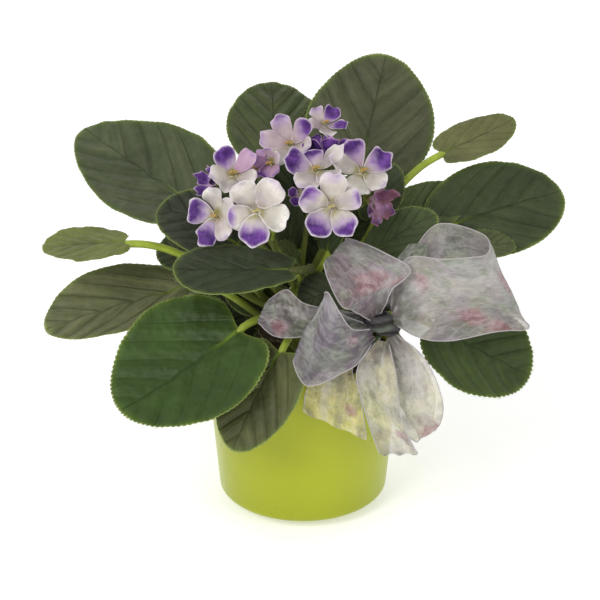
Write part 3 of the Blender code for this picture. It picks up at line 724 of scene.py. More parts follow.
def petiole(values, seed, shade=0.0):
    """The leaf's stalk: an easy curve from the crown, thinning out as the rib under the blade.

    shade is near 1 for a stalk that gets painted shade, dark olive all along.
    """
    (heading, height, steep, *stiff), base, tip, width, roll, arch, _, _, _ = values
    stiff = stiff[0] if stiff else STIFFNESS
    base, tip = np.array(base, float), np.array(tip, float)
    along, across, face = leaf_frame(base, tip, roll)
    length = np.linalg.norm(tip - base)
    compass = np.array([math.cos(math.radians(heading)), math.sin(math.radians(heading)), 0])
    start = compass * (CROWN_RADIUS - 4) + [0, 0, height]
    foot = base + along * length * 0.06 - face * 1.3
    reach = np.linalg.norm(foot - start)
    lift = unit(compass + [0, 0, math.tan(math.radians(steep))])
    path = cubic(start, start + lift * reach * stiff, foot - along * reach * 0.35, foot,
                 np.linspace(0, 1, 26))
    bare = (np.hypot(path[:, 0], path[:, 1]) > CROWN_RADIUS + 0.35) | (path[:, 2] > CROWN_TOP + 0.4)
    path = path[np.argmax(bare):]
    thick = min(2.1, width * 0.05 + 0.5)
    grow = np.linspace(0, 1, len(path))
    radius = thick * (1 + 0.18 * np.exp(-grow / 0.06))
    run, marks = np.linspace(0.1, 0.9, 14), [0.1, 0.2, 0.38, 0.9]
    sunk = thick * np.interp(run, marks, [1.0, 0.95, 0.8, 0.6])
    rib_lift = 4 * arch * run * (1 - run) - sunk
    path = np.vstack([path, base + (run * length)[:, None] * along + rib_lift[:, None] * face])
    radius = np.append(radius, thick * np.interp(run, marks, [0.85, 0.65, 0.42, 0.12]))
    ripe = np.append(0.08 + 0.62 * ease(0.62, 0.25, grow), np.full(len(run), 0.15))[:, None]
    # ripe is raised to shade here, so a shaded stalk carries painted shade.
    body = stem(path, radius, 14, look=0, ripe=np.maximum(ripe, shade))
    chance = np.random.default_rng(seed + 90)
    n = int(3.2 * reach)
    pick = chance.uniform(0, len(grow) - 2, n)
    i = pick.astype(int)
    at = path[i] + (path[i + 1] - path[i]) * (pick - i)[:, None]
    ways = unit(np.cross(unit(path[i + 1] - path[i]), chance.normal(0, 1, (n, 3))))
    return [body, bristles(at + ways * thick * 0.95, ways + chance.normal(0, 0.2, (n, 3)),
                           chance.uniform(0.8, 1.5, n), STALK_HAIR, look=1, pale=0.8)]


# %% All the leaves
# A few more young leaves fill the heart of the rosette; they are foliage with no solid of their own.
# Their dark greens are partly the leaves' own tone and partly painted shade of the heart.
INNER_LEAVES = {
    "inner_left": ((165, 118, 50), (-18, 14, 122), (-46, 20, 156), 44, 70, 2, 0.1, 0.1, (52, 63, 37)),
    "inner_right": ((60, 118, 60), (8, 15, 124), (13, 28, 162), 34, 0, 2, 0.1, 0.1, (52, 63, 36)),
    "inner_back": ((95, 120, 70, 0.5), (-4, 20, 146), (-8, 33, 198), 40, 0, 2, 0.12, 0.1, (52, 63, 37)),
    "inner_back_left": ((125, 121, 65, 0.5), (-17, 14, 146), (-42, 21, 190), 44, 75, 2, 0.1, 0.1, (54, 66, 37)),
    "inner_back_right": ((40, 121, 65, 0.5), (15, 16, 142), (40, 20, 186), 42, -75, 2, 0.1, 0.1, (54, 66, 37)),
    "inner_far_right": ((35, 118, 45), (48, 20, 152), (92, 33, 170), 36, -35, 2, 0.1, 0.1, (84, 96, 58)),
    "inner_low_right": ((45, 114, 55), (30, 18, 128), (44, 24, 160), 30, -60, 2, 0.1, 0.1, (56, 67, 39)),
    "inner_low_left": ((160, 108, 40), (-12, 14, 110), (-44, 26, 132), 40, 60, 2, 0.1, 0.1, (52, 63, 36)),
    "inner_rim_left": ((158, 100, 20), (-22, 18, 98), (-64, 18, 114), 40, 70, 2, 0.1, 0.1, (42, 50, 32)),
    "inner_bow_high": ((5, 112, 40), (26, 6, 122), (64, 8, 142), 36, -60, 2, 0.1, 0.1, (52, 63, 36)),
    "inner_bow_low": ((40, 100, 20), (10, 20, 98), (56, 24, 109), 36, -60, 2, 0.1, 0.1, (46, 56, 32)),
    "inner_mid_right": ((38, 118, 40), (50, 16, 140), (88, 22, 152), 36, -35, 2, 0.1, 0.1, (56, 66, 38)),
}
for number, (name, values) in enumerate({**LEAVES, **INNER_LEAVES}.items()):
    seed = 100 + 7 * number
    leaf_nodes = ["leaf_" + name] if name in LEAVES else []
    plain = PLAIN.get(name, 0.2 if values[3] > 45 else 0.6)
    piece("blade_" + name, [blade(values, seed, SERRATED.get(name, 0.3), plain)], [leaf_velvet],
          leaf_nodes, own=tint(*values[-1]))
    piece("down_" + name, [rim_hairs(values, seed)], [plant_hair], leaf_nodes)
    piece("petiole_" + name, petiole(values, seed, SHADED.get(name, 0.0)), [stalk_skin, plant_hair],
          leaf_nodes)
print("leaves:", len(LEAVES) + len(INNER_LEAVES), "with", sum(made.values()), "triangles")

# %% [markdown]
# ## Pot, soil and crown
# The pot is turned: one profile goes round a centre line. Its glaze pools a little, so the
# colour thins at the lip and deepens at the foot, and a clear coat gives the gloss. The soil is
# a turned disc made uneven by soft hills, with crumbs pressed into it.

# %% Pot finish and soil finish
def make_glaze():
    """Lime green glaze, thin and pale at the lip and deeper at the foot, with a few pits."""
    material, tree, shader = finish("lime_glaze", Coat_Weight=0.18, Coat_Roughness=0.2,
                                    Specular_IOR_Level=0.28)
    place = spot(tree)
    height = node(tree, "ShaderNodeSeparateXYZ", {0: place}).outputs[2]
    body = mix(tree, rise(tree, height, 0.0, 0.03), tint(158, 166, 22), tint(166, 174, 26))
    body = mix(tree, rise(tree, height, 0.0915, 0.0940), body, tint(190, 198, 70))
    blend = use(tree, mottle, Colour=body, Place=place, Scale=26.0, Amount=0.05)
    pits = noise(tree, place, 1500.0, 1.0)
    pitted = mix(tree, rise(tree, pits, 0.72, 0.8, 0.0, 0.12), blend["Colour"], tint(112, 120, 20))
    painted(tree, shader, pitted, rise(tree, blend["Patches"], 0.3, 0.7, 0.26, 0.36))
    wavy = times_plus(tree, noise(tree, place, 130.0, 2.0), 1.0,
                      times(tree, noise(tree, place, 900.0, 1.0), 0.12))
    raised(tree, shader, wavy, 0.25, 0.0005)
    return material


def make_peat():
    """Dark crumbly potting mix with pale grit in its top."""
    material, tree, shader = finish("peat", Specular_IOR_Level=0.2)
    place = spot(tree)
    crumbs = node(tree, "ShaderNodeTexVoronoi", {"Vector": place, "Scale": 420.0})
    colour = mix(tree, noise(tree, place, 260.0, 4.0), tint(34, 24, 17), tint(84, 64, 44))
    grit = rise(tree, node(tree, "ShaderNodeSeparateXYZ", {0: crumbs.outputs["Color"]}).outputs[0],
                0.972, 0.985)
    gritty = mix(tree, times(tree, grit, kept(tree, "grit")), colour, tint(138, 128, 108))
    painted(tree, shader, gritty, rise(tree, noise(tree, place, 500.0), 0.2, 0.8, 0.8, 0.98))
    height = minus(tree, noise(tree, place, 700.0, 4.0), crumbs.outputs["Distance"])
    raised(tree, shader, height, 1.0, 0.0012)
    return material


lime_glaze, peat = make_glaze(), make_peat()

# %% Pot, soil and crown surfaces
POT_HEIGHT, POT_RIM, POT_BASE, POT_WALL, POT_FLOOR, FOOT = 94.0, 56.5, 48.6, 4.0, 5.0, 4.5
SOIL_TOP, GAP, POT_LIP = 84.0, 0.3, 1.2      # the lip is rounded by this radius


def outer_radius(z):
    """Radius of the pot's outside at a height."""
    return POT_BASE + (POT_RIM - POT_BASE) * z / POT_HEIGHT


def turned(profile, steps):
    """A profile of (radius, height) points carried once round the centre line."""
    r, z = np.asarray(profile, float).T[..., None]
    turn = round_turn(steps)[None, :]
    return grid(r * np.cos(turn), r * np.sin(turn), z)


def arc(radius, z, size, start, stop, steps):
    """Part of a round corner, from one angle to another in degrees."""
    a = np.radians(np.linspace(start, stop, steps))
    return np.stack([radius + size * np.cos(a), z + size * np.sin(a)], -1)


wall_z = np.linspace(8, POT_HEIGHT - POT_LIP - 1, 14)
pot_profile = np.vstack([
    [[0.6, 0.0], [20.0, 0.0], [38.0, 0.0]],
    arc(outer_radius(FOOT) - FOOT, FOOT, FOOT, -90, 0, 12),
    np.stack([outer_radius(wall_z), wall_z], -1),
    arc(outer_radius(POT_HEIGHT) - POT_LIP, POT_HEIGHT - POT_LIP, POT_LIP, 0, 90, 7),
    arc(outer_radius(POT_HEIGHT) - POT_WALL + POT_LIP, POT_HEIGHT - POT_LIP, POT_LIP, 90, 180, 7),
    [[outer_radius(z) - POT_WALL, z] for z in (80, 60, 40, 20, POT_FLOOR + 3)],
    arc(outer_radius(POT_FLOOR) - POT_WALL - 3, POT_FLOOR + 3, 3, 0, -90, 6),
    [[30.0, POT_FLOOR], [0.6, POT_FLOOR]]])
piece("pot_glazed", [skin(turned(pot_profile, 160))], [lime_glaze], ["pot"])

inside = POT_WALL + GAP
soil_rim = outer_radius(SOIL_TOP) - inside
soil_r = np.append(np.linspace(1.0, soil_rim - 1, 34), soil_rim)
soil_profile = np.vstack([
    np.stack([soil_r, SOIL_TOP + 3 * np.clip(1 - (soil_r / soil_rim) ** 2, 0, 1)], -1),
    [[outer_radius(z) - inside, z] for z in (60, 30, POT_FLOOR + 3.5)],
    [[outer_radius(POT_FLOOR) - inside - 3.4, POT_FLOOR + GAP], [1.0, POT_FLOOR + GAP]]])
soil_points = turned(soil_profile, 120)
x, y, z = np.moveaxis(soil_points, -1, 0)
on_top = ease(76.0, 83.0, z) * ease(0.0, 3.0, soil_rim - np.hypot(x, y))
soil_points[..., 2] += on_top * (0.9 * lumps(x, y, 5.0, 3) + 0.6 * lumps(x, y, 2.1, 4) - 0.6)
piece("soil_bed", [skin(soil_points, grit=1.0)], [peat], ["soil"])

crown_z = np.linspace(CROWN_BOTTOM, CROWN_TOP, 60)
rounding = np.minimum(0.25 + (crown_z - CROWN_BOTTOM) / 5, 0.3 + (CROWN_TOP - crown_z) / 5)
crown_r = CROWN_RADIUS * np.minimum(1, rounding)
crown_points = turned(np.stack([crown_r, crown_z], -1), 48)
x, y, z = np.moveaxis(crown_points, -1, 0)
scars = np.abs(np.sin(2.5 * np.arctan2(y, x) + z / 2.2))
crown_points[..., :2] *= (1 - 0.10 * (1 - scars) ** 2)[..., None]
piece("crown_stub", [skin(crown_points, ripe=ease(CROWN_TOP, CROWN_BOTTOM + 20, z))], [stalk_skin],
      ["crown"])
print("pot, soil and crown:", made["pot_glazed"], made["soil_bed"], made["crown_stub"], "triangles")

# %% [markdown]
# ## Petal finish
# The petals are chalky white, splashed with purple from their tips inwards. Every petal keeps
# how far its splash reaches, to which side it leans, how much it blushes and how far it faded.
# The shader turns them into a ragged, feathered edge with noise, so no two petals repeat.

# %% Petals and anthers
def make_petal():
    """Chalky white, painted shade to the throat, a feathered purple splash, a painted highlight on the white
    rim, a blush.
    """
    material, tree, shader = finish("petal", Sheen_Weight=0.08, Sheen_Roughness=0.4,
                                    Specular_IOR_Level=0.22)
    place = spot(tree)
    out, side, rim = (kept(tree, n) for n in ("out", "side", "rim"))
    splash, lean, blush, faded = (kept(tree, n) for n in ("splash", "lean", "blush", "faded"))
    ragged = minus(tree, noise(tree, place, 150.0, 5.0, 0.62), 0.5)
    reach = times_plus(tree, ragged, 0.62, out)
    reach = times_plus(tree, times(tree, side, lean), 0.5, reach)
    reach = times_plus(tree, times(tree, side, side), -0.22, reach)
    over = minus(tree, reach, minus(tree, 1.06, splash))
    inside = rise(tree, times_plus(tree, ragged, 0.30, rim), 1.0, 0.80)
    core = times(tree, rise(tree, over, 0.0, 0.30), inside)
    halo = times(tree, rise(tree, over, -0.24, 0.16), rise(tree, inside, 0.0, 1.0, 0.4, 1.0))
    fan = node(tree, "ShaderNodeCombineXYZ", {0: times(tree, side, 9.0), 1: out}).outputs[0]
    rays = node(tree, "ShaderNodeTexNoise", {"Vector": fan, "Scale": 1.6, "Detail": 3.0}).outputs["Fac"]
    deep = layered(tree, tint(62, 28, 96), (rise(tree, ragged, -0.15, 0.2), tint(122, 74, 162)),
                   (rise(tree, rays, 0.55, 0.35, 0.0, 0.5), tint(52, 24, 84)))
    # The throat's green is partly its own colour and partly painted shade; the grey from the throat outwards
    # and in soft patches is painted shade in the cup; the bright rim layer is a painted highlight on the edges;
    # rays, blush, splash and fading are the petal's own colours.
    colour = layered(
        tree, tint(142, 134, 80),
        (rise(tree, out, 0.06, 0.32), tint(190, 184, 170)),
        (rise(tree, out, 0.40, 0.95), tint(230, 225, 216)),
        (rise(tree, noise(tree, place, 95.0, 2.0), 0.54, 0.34, 0.0, 0.6), tint(158, 149, 150)),
        (times(tree, rise(tree, rays, 0.45, 0.7), 0.3), tint(194, 184, 188)),
        (rise(tree, times_plus(tree, ragged, 0.3, rim), 0.86, 1.06), tint(238, 231, 234)),
        (blush, tint(190, 142, 184)), (times(tree, halo, 0.7), tint(158, 122, 184)), (core, deep),
        (times(tree, faded, rise(tree, ragged, -0.2, 0.1)), tint(130, 84, 82)))
    soft = use(tree, down, Place=place, Fineness=1.6)
    blend = use(tree, mottle, Colour=colour, Place=place, Scale=120.0, Amount=0.12)
    painted(tree, shader, blend["Colour"], rise(tree, blend["Patches"], 0.3, 0.7, 0.45, 0.6))
    height = times_plus(tree, rays, 1.2, times(tree, soft["Height"], 0.5))
    raised(tree, shader, height, 0.45, 0.0006)
    return material


def make_pollen():
    """Grainy yellow pollen sacs, greener on the style."""
    material, tree, shader = finish("pollen", Specular_IOR_Level=0.35, Sheen_Weight=0.2)
    place = spot(tree)
    grains = noise(tree, place, 1800.0, 3.0, 0.7)
    colour = mix(tree, grains, tint(150, 112, 48), tint(206, 172, 96))
    painted(tree, shader, mix(tree, kept(tree, "ripe"), colour, tint(176, 172, 112)),
            rise(tree, grains, 0.3, 0.7, 0.45, 0.75))
    raised(tree, shader, grains, 0.5, 0.0002)
    return material


petal_skin, pollen = make_petal(), make_pollen()

# %% [markdown]
# ## Flowers
# Every flower faces its own way, so it is built once in its own small frame, with x to its right,
# y to its top and z out of its face, and then turned into place. Each petal is a disc pulled out
# from the throat: width and cup grow with the distance from the middle, and the rim ruffles.

# %% Flower tables
# name: (middle of the throat, compass angle, pitch, spin, radius, cup depth),
# then for each petal from the top one anticlockwise: (splash, lean, blush), and where a petal
# strays from the rule also (turn in degrees, length, width)
BLOOMS = {
    "left_high": (((-38, -15, 200), 270, 45, 30, 14, 6),
                  ((0.78, 0.1, 0.1, -2, 1.12, 1.1), (0.1, 0.0, 0.05, 4, 0.9, 0.9), (0.0, 0.0, 0.0),
                   (0.0, 0.0, 0.12, 0, 1.0, 0.8), (0.2, 0.0, 0.7, -6, 1.1, 0.85))),
    "left_low": (((-47, -22, 179), 238, 10, 8, 16, 4),
                 ((0.05, 0.0, 0.0, 0, 1.05, 1.0), (0.74, 0.1, 0.0, 6, 1.0, 1.05),
                  (0.78, 0.0, 0.0, 16, 1.1, 1.0), (0.12, 0.3, 0.15, 0, 0.95, 0.75), (0.0, 0.0, 0.05))),
    "front_left": (((-25, -42, 190), 270, 16, 30, 19, 4),
                   ((0.05, 0.0, 0.03, 4, 1.0, 0.98), (0.28, 0.6, 0.06, 10, 0.84, 0.88),
                    (0.66, 0.0, 0.0, 0, 0.98, 1.0), (0.0, 0.0, 0.0, 6, 0.96, 0.9),
                    (0.12, 0.0, 0.08, 6, 1.0, 0.96))),
    "front_right": (((15, -42, 192), 270, 22, 0, 17.8, 5),
                    ((0.26, 0.0, 0.06, -4, 1.1, 1.04), (0.46, 0.7, 0.05, 0, 1.0, 0.9),
                     (0.66, -0.1, 0.0, 2, 1.0, 0.98), (0.56, 0.3, 0.04, 0, 0.98, 0.92),
                     (0.3, 0.5, 0.05, 4, 0.94, 0.8))),
    "middle": (((7, -20, 204), 268, 52, 10, 16, 6),
               ((0.62, 0.0, 0.2, 4, 0.80, 0.95), (0.74, 0.1, 0.1, -2, 1.06, 1.0),
                (0.05, 0.3, 0.12, 0, 0.98, 1.0), (0.0, 0.0, 0.05, 0, 0.98, 1.0),
                (0.0, 0.0, 0.1, 8, 1.08, 0.66))),
    "right": (((32, -14, 201), 285, 40, 8, 17, 5),
              ((0.66, 0.0, 0.35, 10, 1.12, 0.95), (0.05, 0.0, 0.0, -14, 1.1, 0.72),
               (0.0, 0.0, 0.0, 0, 0.9, 1.0), (0.1, 0.2, 0.0, 0, 0.85, 0.9),
               (0.74, 0.0, 0.1, -4, 1.0, 0.95))),
    "top_left": (((-7, 9, 208), 250, 45, 20, 15, 7),
                 ((0.36, 0.3, 0.28, 14, 1.18, 0.95), (0.26, -0.3, 0.34, 4, 1.05, 0.9),
                  (0.05, 0.0, 0.1, 0, 1.05, 1.1), (0.2, 0.0, 0.15, 16, 0.95, 1.0),
                  (0.62, 0.4, 0.3, 14, 1.08, 0.95))),
    "top_right": (((12, 19, 216), 290, 57, 26, 11.2, 4),
                  ((0.3, 0.5, 0.2, 0, 1.05, 0.9), (0.2, 0.0, 0.2, 0, 1.0, 0.8), (0.1, 0.0, 0.1),
                   (0.85, 0.0, 0.1, 0, 1.1, 0.95), (0.9, 0.0, 0.3, 0, 1.05, 0.95))),
    "pink_left": (((-24, 0, 197), 205, 35, 10, 11.5, 5),
                  ((0.30, 0.0, 0.8), (0.35, 0.0, 0.8), (0.25, 0.0, 0.7), (0.25, 0.0, 0.7),
                   (0.30, 0.0, 0.8))),
    "purple_behind": (((15, 0, 205), 80, 35, 0, 13, 5), ((1.2, 0.0, 0.8),) * 5),
    "purple_side": (((-48.5, -4, 190.5), 205, 20, 20, 9, 7), ((0.9, 0.0, 0.5),) * 5),
    "wilted": (((37.5, -18, 185.5), 315, -5, 15, 11, 8), ((0.55, 0.0, 0.8),) * 4 + ((1.1, 0.0, 0.8),)),
}
# Smaller flowers deep in the bunch, which have no solid of their own.
HIDDEN_BLOOMS = {
    "pink_heart": (((-17, -7, 203.5), 235, 18, 20, 9, 4),
                   ((0.3, 0.0, 0.5), (0.35, 0.0, 0.9), (0.5, 0.0, 0.8), (0.4, 0.0, 0.7),
                    (0.1, 0.0, 0.3))),
    "purple_heart": (((8, 5, 207.5), 265, 55, 15, 9, 3), ((1.1, 0.0, 0.6),) * 5),
    "purple_low": (((-1, -27, 193), 258, 12, 0, 6.5, 3), ((1.0, 0.0, 0.5),) * 5),
}
WITHOUT_ANTHERS = ("purple_behind", "purple_side", "wilted", "purple_heart", "purple_low")


# %% Flower shapes
PETAL_ROOT = 1.5                    # where a petal starts, from the middle of the throat
THROAT_DEPTH = 3.1
ANTHER_SPIN = 10                    # degrees; the anthers sit a little turned in every flower


def bloom_frame(heading, pitch, spin):
    """Directions of a flower as rows: its right, its top and out of its face."""
    h, p, s = map(math.radians, (heading, pitch, spin))
    out = np.array([math.cos(h) * math.cos(p), math.sin(h) * math.cos(p), math.sin(p)])
    top = unit(np.array([0, 0, 1]) - out * out[2])
    right = np.cross(top, out)
    return np.array([right * math.cos(s) + top * math.sin(s), top * math.cos(s) - right * math.sin(s), out])


def turn_about_face(points, angle):
    """Turn points of a flower about the line out of its face."""
    c, s = math.cos(angle), math.sin(angle)
    return points @ np.array([[c, s, 0], [-s, c, 0], [0, 0, 1]])


def petal(k, radius, depth, colours, seed, faded=0.0):
    """One petal, closed, in its flower's own frame.

    On a unit disc with u pointing outwards and w sideways, the distance from the throat is
    root + (length - root)(1 + u)/2 and the width w (0.72 + 0.28 u). The cup rises with the square
    of that distance, both sides rise with w squared like a spoon's, the petal tilts to lap over
    its neighbour, its tip is drawn out or notched, and waves ruffle its rim.
    """
    splash, lean, blush, turn, long, wide = (*colours, 0, 1.0, 1.0)[:6]
    lower = k > 0
    width, length = radius * (1.17 if lower else 1.06) * wide, radius * (1.0 if lower else 0.95) * long
    reach, side, angle = disc_grid(np.append(np.linspace(0.1, 0.9, 9), 0.965), 60)
    ragged = 1 + 0.042 * lumps(angle * 60 / (2 * np.pi), 0 * angle, 3.75, seed) * reach**3
    u, w = reach * ragged * np.cos(angle), reach * ragged * np.sin(angle)
    chance = np.random.default_rng(seed)
    point = chance.uniform(-0.07, 0.09)
    r = PETAL_ROOT + (length - PETAL_ROOT) * (0.5 + 0.5 * u)
    r = r + point * length * np.exp(-(w / 0.28)**2) * ease(0.2, 1.0, u)
    across = w * (0.72 + 0.28 * u) * width / 2
    lift = 1.15 * depth * (r / radius) ** 2 + 0.75 * w * (1 - 0.2 * u) + (0.5 if lower else -0.4)
    lift = lift + 0.17 * width * w * w * ease(-0.7, 0.5, u)
    outer = reach**3 * ease(-0.7, 0.3, u)
    lift = lift + outer * 0.085 * radius * np.sin(3 * w * 1.9 + chance.uniform(0, 6)) \
        + outer * 0.11 * radius * lumps(across + 40, r + 40, radius * 0.33, seed + 3) \
        - 0.07 * radius * reach**6 * ease(0.0, 0.8, u)
    lift = lift - 0.016 * radius * np.exp(-(w / 0.12)**2) * ease(-0.9, 0.0, u)
    lift = lift + 0.010 * radius * np.cos(9 * w)
    lift = lift + faded * 1.6 * lumps(across + 20, r + 60, 3.1, seed + 5)
    thick = 0.07 + 0.16 * np.sqrt(np.clip(1 - reach**3, 0, 1))
    points = np.stack([across, r, lift + side * thick], -1)
    return skin(turn_about_face(points, math.radians(72 * k + turn)), np.stack([across, r], -1) / PATTERN,
                out=(r - PETAL_ROOT) / (length - PETAL_ROOT), side=across / (width / 2) + 0 * r,
                rim=reach, splash=splash, lean=lean, blush=blush, faded=faded)


def throat():
    """The small funnel that the petals grow from, with a shallow dimple in its face."""
    profile = [(0.3, -THROAT_DEPTH), (1.5, -THROAT_DEPTH), (1.8, -2.6), (2.5, -1.2), (3.0, 0.1),
               (2.9, 0.55), (2.4, 0.6), (1.7, 0.4), (1.0, 0.15), (0.3, 0.1)]
    return skin(turned(np.array(profile), 24), out=0.05, side=0.0, splash=0.0, lean=0.0, blush=0.0)


def placed(skins, directions, centre):
    """Turn skins from a flower's frame into the plant's."""
    for s in skins:
        s["verts"] = s["verts"] @ directions + centre
    return skins


def ball(size, middle, rows=12, cols=18, **values):
    """A smooth lobe: an ellipsoid of rings from one end to the other."""
    tilt = np.linspace(0.06, np.pi - 0.06, rows)[:, None]
    turn = round_turn(cols)[None, :]
    points = grid(np.sin(tilt) * np.cos(turn), np.sin(tilt) * np.sin(turn), np.cos(tilt))
    return skin(points * size + middle, **values)


def anther_pair(seed, pale):
    """Two plump lobes side by side, each with a seam, and the thin style that leans out past them."""
    z = 1.3 + GAP + 1.5
    lobes = []
    for sign in (-1, 1):
        lobe = ball((1.1, 0.9, 1.25), (sign * 1.0, 0.1 * sign, z), ripe=pale)
        seam = np.exp(-((lobe["verts"][:, 0] - sign) / 0.25) ** 2) * (lobe["verts"][:, 2] > z)
        lobe["verts"][:, 2] -= 0.22 * seam
        lobes.append(lobe)
    way = -1 if seed % 2 else 1
    t = np.linspace(0, 1, 12)
    style = cubic(np.array([0, 0, z - 1.4]), np.array([way * 1.0, -1.0, z]),
                  np.array([way * 2.4, -1.6, z + 1.6]), np.array([way * 3.4, -1.2, z + 2.4]), t)
    lobes.append(stem(style, 0.24 + 0.16 * ease(0.88, 1.0, t), 8, ripe=1.0))
    return lobes


# %% All the flowers
for number, (name, (values, colours)) in enumerate({**BLOOMS, **HIDDEN_BLOOMS}.items()):
    centre, heading, pitch, spin, radius, depth = values
    directions, seed = bloom_frame(heading, pitch, spin), 500 + 13 * number
    faded = 0.8 if name == "wilted" else 0.0
    petals = [petal(k, radius, depth, colours[k], seed + k, faded) for k in range(5)]
    solid = name in BLOOMS
    piece("flower_" + name, placed(petals + [throat()], directions, centre), [petal_skin],
          ["bloom_" + name] if solid else [])
    if name not in WITHOUT_ANTHERS:
        directions = bloom_frame(heading, pitch, ANTHER_SPIN)
        sacs = placed(anther_pair(seed, 0.75 if "front" in name else 0.0), directions, centre)
        piece("pollen_sacs_" + name, sacs, [pollen], ["anthers_" + name] if solid else [])
print("flowers:", len(BLOOMS) + len(HIDDEN_BLOOMS))

# %% [markdown]
# ## Flower stalks
# Four stalks rise from the crown and fork into thin stems, one to each flower. A leafy cup of
# five narrow sepals holds each flower from behind. A bud waits on one of them.

# %% Stalks
STALKS = {
    "left": ((-6, -2), (-34, -8, 172), ("left_high", "left_low", "purple_side"), None),
    "front_left": ((-5, -5), (-17, -16, 162), ("front_left", "pink_left"), (-16, -21, 169)),
    "middle": ((-1, 5.5), (3, 0, 176), ("front_right", "middle", "top_left"), None),
    "right": ((3.5, 5.5), (24, 4, 174), ("right", "wilted", "top_right", "purple_behind"), None),
}


def sepal(k):
    """A narrow pointed lens that lies against the back of the petals."""
    reach, side, angle = disc_grid(np.array([0.15, 0.4, 0.7, 0.9]), 20)
    u, w = reach * np.cos(angle), reach * np.sin(angle)
    r = 3.7 + 2.9 * u
    lift = -2.9 + 0.11 * (r - 1) + side * 0.22 * np.sqrt(1 - reach**2)
    points = np.stack([w * 0.95 * (1 - 0.45 * u), r, lift], -1)
    return skin(turn_about_face(points, math.radians(72 * k + 36)), ripe=0.45)


def calyx(bloom):
    """The cup behind one flower, in the plant's frame."""
    values = BLOOMS[bloom][0]
    directions = bloom_frame(*values[1:4])
    profile = np.array([(0.3, -5.6), (1.1, -5.5), (1.7, -4.9), (2.5, -4.0), (3.3, -3.45), (0.3, -3.4)])
    cup = skin(turned(profile, 16), ripe=0.4)
    return placed([cup] + [sepal(k) for k in range(5)], directions, values[0])


for number, (name, ((x, y), fork, blooms, bud)) in enumerate(STALKS.items()):
    start, fork = np.array([x, y, CROWN_TOP - 4.0]), np.array(fork, float)
    lift = np.array([0, 0, np.linalg.norm(fork - start) * 0.4])
    path = cubic(start, start + lift, fork - 0.6 * lift, fork, np.linspace(0, 1, 24))
    crown_at = CROWN_TOP + 0.35 - 0.6 * (math.hypot(x, y) - 5)         # height of the crown's skin there
    path = path[np.argmax(path[:, 2] >= crown_at):]
    skins = [stem(path, np.linspace(1.6, 1.35, len(path)), 14,
                  ripe=np.linspace(0.6, 0.85, len(path))[:, None])]
    paths = [path]
    for bloom in blooms:
        values = BLOOMS[bloom][0]
        out = bloom_frame(*values[1:4])[2]
        end = np.array(values[0]) - out * (THROAT_DEPTH + GAP + 1.6)
        reach = np.linalg.norm(end - fork)
        branch = cubic(fork - [0, 0, 1.5], fork + [0, 0, reach * 0.35], end - out * reach * 0.4, end,
                       np.linspace(0, 1, 20))
        skins.append(stem(branch, np.linspace(1.05, 0.9, 20), 12, ripe=np.linspace(0.8, 0.9, 20)[:, None]))
        skins += calyx(bloom)
        paths.append(branch)
    if bud:
        tip = np.array(bud, float)
        path = cubic(fork - [0, 0, 1], (fork + tip) / 2, tip - [0, 0, 1], tip + [0, -0.6, 1.8],
                     np.linspace(0, 1, 18))
        fat = 0.9 + 1.3 * np.exp(-((np.linspace(0, 1, 18) - 0.85) / 0.14) ** 2)
        fat[-1] = 0.7
        skins.append(stem(path, fat, 12, ripe=0.35))
    chance = np.random.default_rng(700 + number)
    roots = []
    for path in paths:
        n = int(2.2 * np.linalg.norm(np.diff(path, axis=0), axis=1).sum())
        i = chance.integers(0, len(path) - 1, n)
        way = unit(np.cross(path[i + 1] - path[i], chance.normal(0, 1, (n, 3))))
        at = path[i] + (path[i + 1] - path[i]) * chance.uniform(0, 1, (n, 1))
        roots.append(np.hstack([at + way * 0.95, way]))
    roots = np.vstack(roots)
    skins.append(bristles(roots[:, :3], roots[:, 3:], chance.uniform(0.7, 1.4, len(roots)), STALK_HAIR,
                          look=1, pale=0.5))
    piece("flower_stalk_" + name, skins, [stalk_skin, plant_hair], ["stalk_" + name])
print("stalks:", len(STALKS))

# %% [markdown]
# ## The bow
# The ribbon is sheer: fine threads with light between them, a soft printed bloom of colour, and
# a wire sewn into each edge that lets the loops stand. Each loop is a sheet ruled between its
# two edges, so its pattern follows the cloth. It is left as one thin layer, because a sheer
# cloth with two faces would look twice as dense. Near the knot the sheet gathers into pleats.

